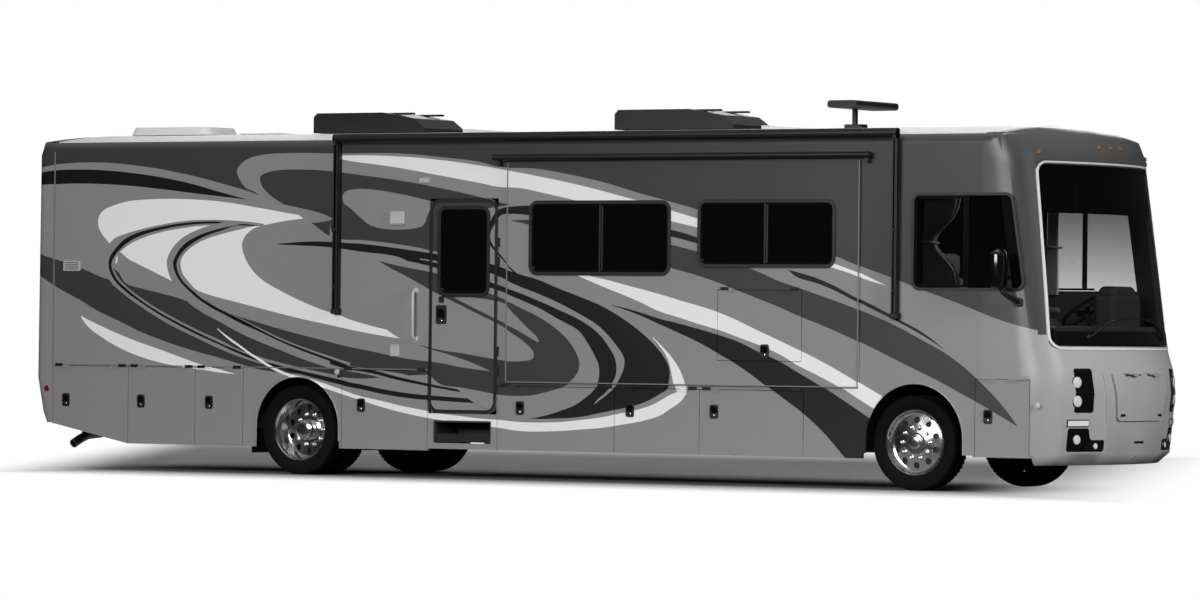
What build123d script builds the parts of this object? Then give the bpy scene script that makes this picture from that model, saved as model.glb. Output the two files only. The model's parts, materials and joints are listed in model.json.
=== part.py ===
from build123d import *
import os
from math import asin, cos, pi, radians, sin, sqrt

# A 38 ft front-engined motorhome on six road wheels, parked level with its room bays in.
# Millimetres. X points forward, Y to the left, Z up. The origin is on the ground, at the
# middle of the overall box.

# Overall body
half_width = 1282.5          # flat side walls
front_x = 5809.0             # foremost point of the front cap
rear_x = -5840.0             # rearmost point of the rear cap
belt_z = 1018.0              # line between the wall and the storage doors
rail_z = 885.0               # lower edge of the wall below a room bay
wall_top_z = 3130.0          # where the wall meets the rolled roof edge
roof_edge_z = 3230.0         # top of the rolled edge
roof_crown_z = 3320.0        # top of the roof on the centre line
wall_t = 50.0                # sandwich wall
skirt_t = 28.0               # storage doors and lower panels
roof_t = 70.0
floor_top_z = 1010.0
floor_t = 50.0
front_seam_x = 4829.0        # front cap meets wall and roof
rear_seam_x = -5570.0        # rear cap meets wall and roof
nose_seam_x = 5325.0         # front cap meets the lower panels
skirt_rear_z = 262.0         # bottom of the panels behind the entry door
skirt_front_z = 281.0        # bottom of the panels ahead of it
tail_sweep_x = -4636.0       # where the bottom edge starts to climb to the tail
tail_sweep_z = 446.0

# Clearances
fit = 0.3                    # running gap at a seat, pin or shaft
door_gap = 5.0               # gap round everything that opens

cap_steps = 6                # flats along each bow and corner of a cap

# Front cap: one plan curve, carried back and up through these stations
front_r = 2800.0             # bow of the nose in plan
front_corner_r = 365.0
# (height, set back from the foremost point)
front_stations = [(252, 176), (350, 56), (900, 0), (1100, 26), (1300, 90), (2950, 334),
                  (3000, 316), (3200, 405), (3285, 640), (3318, 990)]

# Rear cap, in the same way
rear_r = 20500.0
rear_corner_r = 110.0
rear_stations = [(452, 118), (560, 70), (900, 0), (3090, 12), (3222, 60), (3290, 190)]

# Wheels
hub_z = 432.0                # hub height, and rolling radius
tyre_w = 245.0
rim_r = 300.0                # outside of the rim flange
rim_w = 190.0
front_axle_x = 4090.0
rear_axle_x = -2650.0
front_wheel_y = 1050.0       # middle of the front tyre
twin_outer_y = 1090.0        # middle of the outer rear tyre
twin_inner_y = 790.0         # middle of the inner rear tyre
kingpin_y = 895.0
kingpin_r = 24.0
spindle_r = 42.0
wheel_flats = 40             # flats round a tyre or a wheel rim
steer_limit = 35.0           # degrees

# Wheel arches in the lower panels: (first X, last X, top Z)
front_arch = (3620.0, 4748.0, 967.0)
rear_arch = (-3112.0, -2127.0, 943.0)
arch_corner_r = 260.0

# Entry door and its step
door_x = (-1107.0, -339.0)
door_z = (619.0, 2644.0)
door_corner_r = 110.0
door_t = wall_t
step_x = (-1049.0, -394.0)
step_z = (336.0, 550.0)
step_travel = 260.0

# Room bays: (side name, side, first X, last X)
room_bays = [("right", -1, -229.0, 3579.0), ("left", 1, -1300.0, 2600.0)]
bay_z = (917.0, 3000.0)      # outer flange of a room bay
bay_flange = 42.0            # how far the flange laps over its opening
bay_face_t = 17.0            # flange thickness
bay_depth = 800.0
bay_wall_t = 40.0
bay_travel = 740.0
bay_lift = 10.0              # runners between the cabin floor and the bay's floor

# Windows: rim proud of the wall, glass set back inside the rim
rim_lap = 26.0
rim_proud = 7.0
glass_t = 8.0

# Hinges
hinge_r = 5.0
hinge_out = 6.0              # hinge line ahead of the panel's face
hinge_len = 90.0


def block(x_span, y_span, z_span, mode=Mode.ADD):
    """A box between two values on each axis, in the part being built."""
    spans = (x_span, y_span, z_span)
    centre = tuple((low + high) / 2 for low, high in spans)
    size = tuple(abs(high - low) for low, high in spans)
    with Locations(centre):
        Box(*size, mode=mode)


def side_span(side, near, far):
    """The Y span between two distances from the centre line, on one side."""
    return tuple(sorted((side * near, side * far)))


def side_panel(side, outer_y, thickness, x_span, z_span, corner=0.0, mode=Mode.ADD):
    """An upright plate on one side of the coach, from outer_y towards the centre line."""
    with BuildSketch(Plane.XZ.offset(-side * outer_y)) as outline:
        with Locations(((x_span[0] + x_span[1]) / 2, (z_span[0] + z_span[1]) / 2)):
            width = x_span[1] - x_span[0]
            height = z_span[1] - z_span[0]
            if corner > 0:
                RectangleRounded(width, height, corner)
            else:
                Rectangle(width, height)
    extrude(outline.sketch, amount=side * thickness, mode=mode)


def side_polygon(side, outer_y, thickness, points, mode=Mode.ADD):
    """The same for an outline given by its corners as (X, Z)."""
    with BuildSketch(Plane.XZ.offset(-side * outer_y)) as outline:
        with BuildLine():
            Polyline(*points, close=True)
        make_face()
    extrude(outline.sketch, amount=side * thickness, mode=mode)


def rod(start, end, radius, mode=Mode.ADD):
    """A round bar between two points."""
    way = Vector(*end) - Vector(*start)
    with BuildSketch(Plane(origin=start, z_dir=way)) as round_end:
        Circle(radius)
    extrude(round_end.sketch, amount=way.length, mode=mode)


def bent_tube(points, bend, radius):
    """A tube along straight runs joined by arcs."""
    with BuildLine() as path:
        FilletPolyline(*points, radius=bend)
    start = Vector(*points[0])
    way = Vector(*points[1]) - start
    with BuildSketch(Plane(origin=start, z_dir=way)) as ring:
        Circle(radius)
    sweep(ring.sketch, path=path.line)


def arc_points(centre, radius, first, last, end):
    """Points along an arc in plan. Angles count from the way the cap faces."""
    step = (last - first) / cap_steps
    return [(centre[0] + end * radius * cos(first + step * k), centre[1] + radius * sin(first + step * k))
            for k in range(cap_steps + 1)]


def cap_plan(bow, corner, inset, seam, tip, end):
    """Plan outline of an end cap in short flats. end is 1 at the nose and -1 at the tail."""
    centre = tip - end * bow
    turn = asin((half_width - corner) / (bow - corner))
    corner_x = centre + end * (bow - corner) * cos(turn)
    half = arc_points((centre, 0), bow - inset, 0, turn, end)
    half += arc_points((corner_x, half_width - corner), corner - inset, turn, pi / 2, end)[1:]
    half.append((seam, half_width - inset))
    mirrored = [(x, -y) for x, y in half[:0:-1]]
    with BuildLine() as edge:
        Polyline(*mirrored, *half, close=True)
    make_face(edge.edges())


def cap_solid(stations, bow, corner, inset, seam, tip, end, mode=Mode.ADD):
    """The cap as leaning slabs: the plan curve slides back from station to station."""
    for (low_z, low_back), (high_z, high_back) in zip(stations, stations[1:]):
        lean = Vector(-end * (high_back - low_back), 0, high_z - low_z)
        with BuildSketch(Plane.XY.offset(low_z)) as plan:
            cap_plan(bow, corner, inset, seam, tip - end * low_back, end)
        extrude(plan.sketch, amount=lean.length, dir=lean, mode=mode)


def roof_section(inset):
    """Cross-section of the body on the YZ plane, from below the panels to the roof."""
    half = half_width - inset
    edge_z = roof_edge_z - inset
    roll = roof_edge_z - wall_top_z - inset * 0.5
    crown_z = roof_crown_z - inset
    quarter = roll * (1 - sqrt(0.5))
    with BuildLine() as edge:
        Line((-half, 0), (half, 0))
        Line((half, 0), (half, edge_z - roll))
        ThreePointArc((half, edge_z - roll), (half - quarter, edge_z - quarter),
                      (half - roll, edge_z))
        ThreePointArc((half - roll, edge_z), (0, crown_z), (roll - half, edge_z))
        ThreePointArc((roll - half, edge_z), (quarter - half, edge_z - quarter),
                      (-half, edge_z - roll))
        Line((-half, edge_z - roll), (-half, 0))
    make_face(edge.edges())


def knuckle(axis, middle, leaf):
    """One hinge knuckle, with the leaf that carries it given as three spans."""
    half = Vector(*axis) * (hinge_len / 2)
    rod(tuple(Vector(*middle) - half), tuple(Vector(*middle) + half), hinge_r)
    block(*leaf)


def lid_knuckles(side, middle_x, top_z, outer_y, leaf_z):
    """Knuckles of a lid hung along its top edge, at the given places along X.

    leaf_z is the way and reach of the leaf: down on the lid, up on its frame.
    """
    line_y = side * (outer_y + hinge_out)
    leaf_y = side_span(side, outer_y, outer_y + hinge_out)
    reach = tuple(sorted((top_z, top_z + leaf_z)))
    for x in middle_x:
        knuckle((1, 0, 0), (x, line_y, top_z), ((x - hinge_len / 2, x + hinge_len / 2), leaf_y, reach))


def knuckle_places(first, last):
    """Middles of the two moving knuckles of a lid, and of the fixed ones beside them."""
    inset = hinge_len * 1.5 + 30
    moving = (first + inset, last - inset)
    fixed = (first + inset - hinge_len - fit, last - inset + hinge_len + fit)
    return moving, fixed


os.makedirs("parts", exist_ok=True)


def save(built, node):
    """Label one finished piece and write it as its own file."""
    built.part.label = node
    export_step(built.part, f"parts/{node}.step")


# Storage doors: name, side, first X, last X, bottom Z, top Z, outer face, body that carries it
under_bay_z = rail_z - door_gap
under_belt_z = belt_z - door_gap
lids = [
    ("locker_right_1", -1, -5565.0, -4642.0, tail_sweep_z, under_belt_z),
    ("locker_right_2", -1, -4642.0, -3833.0, skirt_rear_z, under_belt_z),
    ("locker_right_3", -1, -3833.0, -3260.0, skirt_rear_z, under_belt_z),
    ("locker_right_4", -1, -2103.0, -1115.0, skirt_rear_z, under_belt_z),
    ("locker_right_5", -1, -325.0, 971.0, skirt_front_z, under_bay_z),
    ("locker_right_6", -1, 971.0, 1894.0, skirt_front_z, under_bay_z),
    ("locker_right_7", -1, 1894.0, 3000.0, skirt_front_z, under_bay_z),
    ("locker_right_8", -1, 4770.0, 5320.0, 316.0, under_belt_z),
    ("locker_left_1", 1, -4642.0, -3260.0, skirt_rear_z, under_belt_z),
    ("locker_left_2", 1, -1200.0, 600.0, skirt_front_z, under_bay_z),
    ("locker_left_3", 1, 700.0, 2500.0, skirt_front_z, under_bay_z),
]
bay_lid = ("outer_cupboard_door", -1, 2091.0, 2983.0, 1150.0, 1800.0)
lid_gap = door_gap / 2
leaf_reach = 24.0

# Windows in the room bays and walls: first X, last X, bottom Z, top Z
bay_windows = {
    "right": [(55.0, 1551.0, 1955.0, 2596.0), (1899.0, 3304.0, 2032.0, 2602.0)],
    "left": [(-900.0, 600.0, 1955.0, 2596.0), (1150.0, 2250.0, 1955.0, 2596.0)],
}
left_wall_windows = [(-4450.0, -3350.0, 1955.0, 2596.0), (-2400.0, -1700.0, 2100.0, 2596.0)]
door_window = (-985.0, -454.0, 1748.0, 2550.0)
window_corner_r = 62.0
# Cab side window, corners as (X, Z), the front edge raked
cab_window = [(4131.0, 1830.0), (5243.0, 1830.0), (5113.0, 2660.0), (4131.0, 2660.0)]

# Windshield, corners as (Y, Z)
shield_low = (1140.0, 1318.0)
shield_high = (1062.0, 2946.0)
shield_corner = 85.0
shield_corner_cuts = (0.6, 0.22)   # a corner is cut twice, to look round
shield_back = 5.0            # glass behind the cap's surface

# Lamp panels on the nose, corners as (Y, Z): two lamps above each other, and a stepped fog panel
head_lamp = [(754.0, 724.0), (985.0, 724.0), (985.0, 1121.0), (770.0, 1121.0)]
fog_lamp = [(570.0, 375.0), (1035.0, 375.0), (1035.0, 586.0), (790.0, 586.0), (760.0, 481.0),
            (570.0, 481.0)]
lamp_corner = 16.0           # cut corner of a lamp panel
lamp_depth = 34.0

# Hood over the engine, corners as (Y, Z)
hood_low = (430.0, 650.0)
hood_high = (520.0, 1070.0)
hood_t = 15.0

# Chassis
frame_rail_y = 430.0
frame_rail_w = 80.0
frame_z = (620.0, 850.0)
frame_x = (-5600.0, 5420.0)
joist_x = [-5200.0, -4200.0, -3350.0, -1600.0, -230.0, 600.0, 1400.0, 2400.0, 3300.0, 5100.0]
joist_w = 60.0
cross_x = [-5480.0, -4700.0, -3950.0, -3500.0, -1500.0, 300.0, 2100.0, 3450.0, 5340.0]
locker_back_y = 670.0
locker_wall_t = 12.0


def window_cut(side, outer_y, window, depth=wall_t):
    """The opening of a framed window, right through the wall and its rim."""
    x0, x1, z0, z1 = window
    side_panel(side, outer_y + rim_proud, depth + rim_proud, (x0, x1), (z0, z1), window_corner_r,
               mode=Mode.SUBTRACT)


def window_rim(side, outer_y, window):
    """The raised rim round a window."""
    x0, x1, z0, z1 = window
    side_panel(side, outer_y + rim_proud, rim_proud, (x0 - rim_lap, x1 + rim_lap),
               (z0 - rim_lap, z1 + rim_lap), window_corner_r + rim_lap)


def window_pane(side, outer_y, window):
    """The glass inside a window's rim."""
    x0, x1, z0, z1 = window
    side_panel(side, outer_y - rim_proud, glass_t, (x0 + fit, x1 - fit), (z0 + fit, z1 - fit),
               window_corner_r - fit)


def cab_window_outline(grow):
    """Rounded outline of the cab side window on its sketch plane."""
    with BuildLine() as edge:
        Polyline(*cab_window, close=True)
    make_face(edge.edges())
    fillet(vertices(), window_corner_r)
    if grow:
        offset(amount=grow, mode=Mode.REPLACE)


def lamp_outlines(inset):
    """The four lamp panels as seen from ahead, each drawn in by a small inset."""
    for corners in (head_lamp, fog_lamp):
        for side in (-1, 1):
            with BuildSketch(mode=Mode.PRIVATE) as panel:
                with BuildLine():
                    Polyline(*[(side * y, z) for y, z in corners], close=True)
                make_face()
                chamfer(vertices(), lamp_corner)
                if inset:
                    offset(amount=-inset, kind=Kind.INTERSECTION)
            add(panel.sketch)


def shield_outline(inset):
    """Rounded outline of the windshield as seen from ahead, drawn in by a small inset."""
    low = (shield_low[0] - inset, shield_low[1] + inset)
    high = (shield_high[0] - inset, shield_high[1] - inset)
    with BuildLine() as edge:
        Polyline((-low[0], low[1]), low, high, (-high[0], high[1]), close=True)
    make_face(edge.edges())
    for share in shield_corner_cuts:
        chamfer(vertices(), share * (shield_corner - inset))


# Side walls, with the openings of the entry door, the room bays and the windows
for bay_name, side, bay_x0, bay_x1 in room_bays:
    with BuildPart() as wall:
        side_panel(side, half_width, wall_t, (rear_seam_x, front_seam_x), (belt_z, wall_top_z))
        side_panel(side, half_width, wall_t, (bay_x0 - 100, bay_x1 + 60), (rail_z, belt_z))
        side_panel(side, half_width + 1, wall_t + 2,
                   (bay_x0 + bay_flange - door_gap, bay_x1 - bay_flange + door_gap),
                   (floor_top_z + door_gap, bay_z[1] - bay_flange + door_gap), mode=Mode.SUBTRACT)
        if side < 0:
            side_panel(side, half_width + 1, wall_t + 2, (door_x[0] - door_gap, door_x[1] + door_gap),
                       (0, door_z[1] + door_gap), mode=Mode.SUBTRACT)
        else:
            for window in left_wall_windows:
                window_rim(side, half_width, window)
                window_cut(side, half_width, window)
        with BuildSketch(Plane.XZ.offset(-side * (half_width + 1))) as cab_hole:
            cab_window_outline(0)
        extrude(cab_hole.sketch, amount=side * (wall_t + 2), mode=Mode.SUBTRACT)
        for name, lid_side, x0, x1, z0, z1 in lids:
            if lid_side == side and x1 < front_seam_x:
                places = knuckle_places(x0, x1)[1]
                lid_knuckles(side, places, z1 + lid_gap, half_width, leaf_reach)
        if side < 0:
            for z in (door_z[0] + 500, door_z[1] - 500):
                for end in (-1, 1):
                    middle = z + end * (hinge_len + fit)
                    line = (door_x[1] + lid_gap, side * (half_width + hinge_out), middle)
                    leaf = ((line[0], line[0] + leaf_reach),
                            side_span(side, half_width, half_width + hinge_out),
                            (middle - hinge_len / 2, middle + hinge_len / 2))
                    knuckle((0, 0, 1), line, leaf)
    save(wall, f"{bay_name}_wall")

# Lower panels of both sides: fixed skirt with the wheel arches
with BuildPart() as skirts:
    for side in (-1, 1):
        side_polygon(side, half_width, skirt_t, [
            (rear_seam_x, belt_z), (rear_seam_x, tail_sweep_z), (tail_sweep_x, skirt_rear_z),
            (door_x[0], skirt_rear_z), (door_x[0], skirt_front_z), (front_arch[1] - 200, skirt_front_z),
            (front_arch[1], 316), (nose_seam_x, 316), (nose_seam_x, belt_z)])
        for x0, x1, top in (front_arch, rear_arch):
            side_panel(side, half_width + 1, skirt_t + 2, (x0, x1), (-400, top), arch_corner_r,
                       mode=Mode.SUBTRACT)
        bay_x0, bay_x1 = [bay[2:] for bay in room_bays if bay[1] == side][0]
        side_panel(side, half_width + 1, skirt_t + 2, (bay_x0 - 100, bay_x1 + 60), (rail_z, belt_z),
                   mode=Mode.SUBTRACT)
        for name, lid_side, x0, x1, z0, z1 in lids:
            if lid_side == side:
                side_panel(side, half_width + 1, skirt_t + 2, (x0 - lid_gap, x1 + lid_gap), (0, belt_z),
                           mode=Mode.SUBTRACT)
    side_panel(-1, half_width + 1, skirt_t + 2, (door_x[0] - door_gap, door_x[1] + door_gap),
               (door_z[0] - door_gap, belt_z), mode=Mode.SUBTRACT)
    side_panel(-1, half_width + 1, skirt_t + 2, (step_x[0], step_x[1]), step_z, 12,
               mode=Mode.SUBTRACT)
save(skirts, "lower_panels")

# Storage doors
for name, side, x0, x1, z0, z1 in lids:
    with BuildPart() as lid:
        if x0 < tail_sweep_x - 100:
            side_polygon(side, half_width, skirt_t, [(x0 + lid_gap, z1), (x0 + lid_gap, z0),
                         (x1 - lid_gap, skirt_rear_z), (x1 - lid_gap, z1)])
        else:
            side_panel(side, half_width, skirt_t, (x0 + lid_gap, x1 - lid_gap), (z0, z1))
        lid_knuckles(side, knuckle_places(x0, x1)[0], z1 + lid_gap, half_width, -leaf_reach)
    save(lid, name)

# Storage compartments behind the doors, and the housing of the entry step
compartments = [(-1, -5540.0, -3285.0), (-1, -2060.0, -1120.0), (-1, -320.0, 2975.0),
                (1, -4615.0, -3285.0), (1, -1175.0, 575.0), (1, 725.0, 2475.0)]
with BuildPart() as tubs:
    for side, x0, x1 in compartments:
        low = tail_sweep_z if x0 < rear_seam_x + 100 else 300.0
        far = half_width - skirt_t - door_gap
        block((x0, x1), side_span(side, locker_back_y, far), (low, low + locker_wall_t))
        back = locker_back_y + locker_wall_t
        upright = (low + locker_wall_t + fit, frame_z[1] - fit)
        block((x0, x1), side_span(side, locker_back_y, back), upright)
        for x in (x0, x1 - locker_wall_t):
            block((x, x + locker_wall_t), side_span(side, back + fit, far), upright)
    block((step_x[0] + 4, step_x[1] - 4), side_span(-1, 860, half_width - 6), (step_z[0] + 4, step_z[1] - 4))
    block((step_x[0] + 16, step_x[1] - 16), side_span(-1, 872, half_width), (step_z[0] + 4, step_z[1] - 16),
          mode=Mode.SUBTRACT)
    for x in (step_x[0] + 16, step_x[1] - 16 - 30):
        block((x, x + 30), side_span(-1, 872, half_width - 40), (step_z[0] + 4, step_z[0] + 24))
    block((step_x[0] + 4, step_x[1] - 4), side_span(-1, 860, half_width - 60), (step_z[1] - 4, 569.7))
save(tubs, "storage_compartments")

with BuildPart() as step:
    tread = (step_z[0] + 24 + fit, step_z[0] + 54)
    block((step_x[0] + 22, step_x[1] - 22), side_span(-1, 900, half_width - 20), tread)
    block((step_x[0] + 22, step_x[1] - 22), side_span(-1, half_width - 32, half_width - 20),
          (step_z[0] + 10, step_z[0] + 90))
save(step, "entry_step")

# Roof between the caps
with BuildPart() as roof:
    with BuildSketch(Plane.YZ.offset(rear_seam_x)) as band:
        roof_section(0)
    extrude(band.sketch, amount=front_seam_x - rear_seam_x)
    with BuildSketch(Plane.YZ.offset(rear_seam_x)) as hollow:
        roof_section(roof_t)
    extrude(hollow.sketch, amount=front_seam_x - rear_seam_x, mode=Mode.SUBTRACT)
    block((rear_seam_x, front_seam_x), (-half_width, half_width), (0, wall_top_z), mode=Mode.SUBTRACT)
save(roof, "roof_shell")

# Both caps are shells under the same roof section
with BuildPart() as front_cap:
    cap_solid(front_stations, front_r, front_corner_r, 0, 4000, front_x, 1)
    with BuildSketch(Plane.YZ.offset(front_seam_x)) as section:
        roof_section(0)
    extrude(section.sketch, amount=1100, mode=Mode.INTERSECT)
    cap_solid(front_stations[:-2], front_r, front_corner_r, wall_t, 4000, front_x, 1,
              mode=Mode.SUBTRACT)
    block((front_seam_x - 1, nose_seam_x), (-half_width - 1, half_width + 1), (0, belt_z),
          mode=Mode.SUBTRACT)
    with BuildSketch(Plane.YZ.offset(4900)) as shield_hole:
        shield_outline(0)
    extrude(shield_hole.sketch, amount=1000, mode=Mode.SUBTRACT)
    with BuildSketch(Plane.YZ.offset(5300)) as engine_hole:
        with BuildLine():
            Polyline((-hood_low[0] + 30, hood_low[1] + 30), (hood_low[0] - 30, hood_low[1] + 30),
                     (hood_high[0] - 30, hood_high[1] - 50), (30 - hood_high[0], hood_high[1] - 50),
                     close=True)
        make_face()
    extrude(engine_hole.sketch, amount=800, mode=Mode.SUBTRACT)
    with BuildSketch(Plane.YZ.offset(5300)) as lamp_holes:
        lamp_outlines(0)
    extrude(lamp_holes.sketch, amount=800, mode=Mode.SUBTRACT)
    for side in (-1, 1):
        with BuildSketch(Plane.XZ.offset(-side * (half_width + 1))) as cab_hole:
            cab_window_outline(0)
        extrude(cab_hole.sketch, amount=side * (wall_t + 2), mode=Mode.SUBTRACT)
    hood_line = (front_x + 5 + hood_t + hinge_out, hood_high[1] + lid_gap)
    for y in (-200.0, 200.0):
        for end in (-1, 1):
            middle = y + end * (hinge_len + fit)
            knuckle((0, 1, 0), (hood_line[0], middle, hood_line[1]),
                    ((hood_line[0] - 62, hood_line[0]), (middle - hinge_len / 2, middle + hinge_len / 2),
                     (hood_line[1], hood_line[1] + 12)))
    for side in (-1, 1):
        for name, lid_side, x0, x1, z0, z1 in lids:
            if lid_side == side and x1 > front_seam_x:
                lid_knuckles(side, knuckle_places(x0, x1)[1], z1 + lid_gap, half_width, leaf_reach)
save(front_cap, "front_cap")

with BuildPart() as hood:
    cap_solid(front_stations[:5], front_r, front_corner_r, -5 - hood_t, 4000, front_x, 1)
    with BuildSketch(Plane.YZ.offset(5300)) as hood_outline:
        with BuildLine():
            Polyline((-hood_low[0], hood_low[1]), hood_low, hood_high, (-hood_high[0], hood_high[1]),
                     close=True)
        make_face()
        fillet(vertices().sort_by(Axis.Y)[:2], 50)
    extrude(hood_outline.sketch, amount=800, mode=Mode.INTERSECT)
    cap_solid(front_stations[:5], front_r, front_corner_r, -5, 3900, front_x, 1, mode=Mode.SUBTRACT)
    for middle in (-200.0, 200.0):
        knuckle((0, 1, 0), (hood_line[0], middle, hood_line[1]),
                ((hood_line[0] - 34, hood_line[0]), (middle - hinge_len / 2, middle + hinge_len / 2),
                 (hood_line[1] - 18, hood_line[1])))
save(hood, "hood")

with BuildPart() as shield:
    cap_solid(front_stations[4:6], front_r, front_corner_r, shield_back, 4700, front_x, 1)
    with BuildSketch(Plane.YZ.offset(5000)) as shield_edge:
        shield_outline(fit)
    extrude(shield_edge.sketch, amount=900, mode=Mode.INTERSECT)
    cap_solid(front_stations[4:6], front_r, front_corner_r, shield_back + glass_t, 4600, front_x, 1,
              mode=Mode.SUBTRACT)
save(shield, "windshield")

with BuildPart() as lamps:
    cap_solid(front_stations[:5], front_r, front_corner_r, 3, 4600, front_x, 1)
    with BuildSketch(Plane.YZ.offset(5250)) as lamp_edges:
        lamp_outlines(fit)
    extrude(lamp_edges.sketch, amount=700, mode=Mode.INTERSECT)
    cap_solid(front_stations[:5], front_r, front_corner_r, 3 + lamp_depth, 4500, front_x, 1,
              mode=Mode.SUBTRACT)
save(lamps, "head_lamps")

# Rear cap with pockets for the lamp clusters
tail_lamp = (960.0, 1120.0, 1150.0, 1750.0)
with BuildPart() as rear_cap:
    cap_solid(rear_stations, rear_r, rear_corner_r, 0, rear_seam_x + 500, rear_x, -1)
    with BuildSketch(Plane.YZ.offset(rear_x - 10)) as section:
        roof_section(0)
    extrude(section.sketch, amount=rear_seam_x - rear_x + 10, mode=Mode.INTERSECT)
    cap_solid(rear_stations[:-1], rear_r, rear_corner_r, wall_t, rear_seam_x + 600, rear_x, -1,
              mode=Mode.SUBTRACT)
    for side in (-1, 1):
        block((rear_x - 5, rear_x + 42), side_span(side, tail_lamp[0], tail_lamp[1]),
              (tail_lamp[2], tail_lamp[3]), mode=Mode.SUBTRACT)
save(rear_cap, "rear_cap")

with BuildPart() as tail_lamps:
    for side in (-1, 1):
        block((rear_x + 10, rear_x + 42 - fit), side_span(side, tail_lamp[0] + fit, tail_lamp[1] - fit),
              (tail_lamp[2] + fit, tail_lamp[3] - fit))
save(tail_lamps, "tail_lamps")

# Cab side window frames and the fixed glass of the body
with BuildPart() as cab_frames:
    for side in (-1, 1):
        with BuildSketch(Plane.XZ.offset(-side * (half_width + rim_proud))) as ring:
            cab_window_outline(rim_lap)
        extrude(ring.sketch, amount=side * (rim_proud - fit))
        with BuildSketch(Plane.XZ.offset(-side * (half_width + rim_proud + 1))) as hole:
            cab_window_outline(0)
        extrude(hole.sketch, amount=side * (rim_proud + 3), mode=Mode.SUBTRACT)
save(cab_frames, "cab_window_frames")

with BuildPart() as fixed_glass:
    for side in (-1, 1):
        with BuildSketch(Plane.XZ.offset(-side * (half_width - rim_proud))) as pane:
            cab_window_outline(-fit)
        extrude(pane.sketch, amount=side * glass_t)
    for window in left_wall_windows:
        window_pane(1, half_width, window)
save(fixed_glass, "body_glass")

# Entry door
with BuildPart() as entry_door:
    side_panel(-1, half_width, door_t, door_x, door_z, door_corner_r)
    window_rim(-1, half_width, door_window)
    window_cut(-1, half_width, door_window)
    for z in (door_z[0] + 500, door_z[1] - 500):
        line = (door_x[1] + lid_gap, -(half_width + hinge_out), z)
        leaf = ((line[0] - leaf_reach, line[0]), side_span(-1, half_width, half_width + hinge_out),
                (z - hinge_len / 2, z + hinge_len / 2))
        knuckle((0, 0, 1), line, leaf)
save(entry_door, "entry_door")

with BuildPart() as door_glass:
    window_pane(-1, half_width, door_window)
save(door_glass, "entry_door_glass")

# Room bays: a box that slides out through the wall, with its flange, windows and topper
for bay_name, side, x0, x1 in room_bays:
    outer_y = half_width + door_gap + bay_face_t
    box_x = (x0 + bay_flange, x1 - bay_flange)
    box_z = (floor_top_z + bay_lift, bay_z[1] - bay_flange)
    inner_y = outer_y - bay_depth
    with BuildPart() as bay:
        side_panel(side, outer_y, bay_face_t, (x0, x1), bay_z, 18)
        block(box_x, side_span(side, inner_y, outer_y - 2), box_z)
        block((box_x[0] + bay_wall_t, box_x[1] - bay_wall_t), side_span(side, inner_y - 1, outer_y - wall_t),
              (box_z[0] + bay_wall_t, box_z[1] - bay_wall_t), mode=Mode.SUBTRACT)
        for window in bay_windows[bay_name]:
            window_rim(side, outer_y, window)
            window_cut(side, outer_y, window)
        topper_y = side * (outer_y + 34)
        rod((x0 - 131, topper_y, 3030), (x1 + 121, topper_y, 3030), 30)
        for x in (x0 - 100, x1 + 60):
            block((x, x + 40), side_span(side, outer_y - bay_face_t, outer_y + 34), (2960, 3055))
        block((x0 - 100, x1 + 100), side_span(side, outer_y - bay_face_t, outer_y + 4), (2985, 3012))
        if side < 0:
            name, lid_side, lx0, lx1, lz0, lz1 = bay_lid
            side_panel(side, outer_y + 1, 36, (lx0 - lid_gap, lx1 + lid_gap), (lz0 - lid_gap, lz1 + lid_gap),
                       mode=Mode.SUBTRACT)
            lid_knuckles(side, knuckle_places(lx0, lx1)[1], lz1 + lid_gap, outer_y, leaf_reach)
    save(bay, f"room_bay_{bay_name}")
    with BuildPart() as bay_glass:
        for window in bay_windows[bay_name]:
            window_pane(side, outer_y, window)
    save(bay_glass, f"room_bay_{bay_name}_glass")

name, lid_side, lx0, lx1, lz0, lz1 = bay_lid
with BuildPart() as cupboard:
    bay_outer_y = half_width + door_gap + bay_face_t
    side_panel(-1, bay_outer_y, 25, (lx0 + lid_gap, lx1 - lid_gap), (lz0 + lid_gap, lz1 - lid_gap))
    lid_knuckles(-1, knuckle_places(lx0, lx1)[0], lz1 + lid_gap, bay_outer_y, -leaf_reach)
save(cupboard, name)

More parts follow.
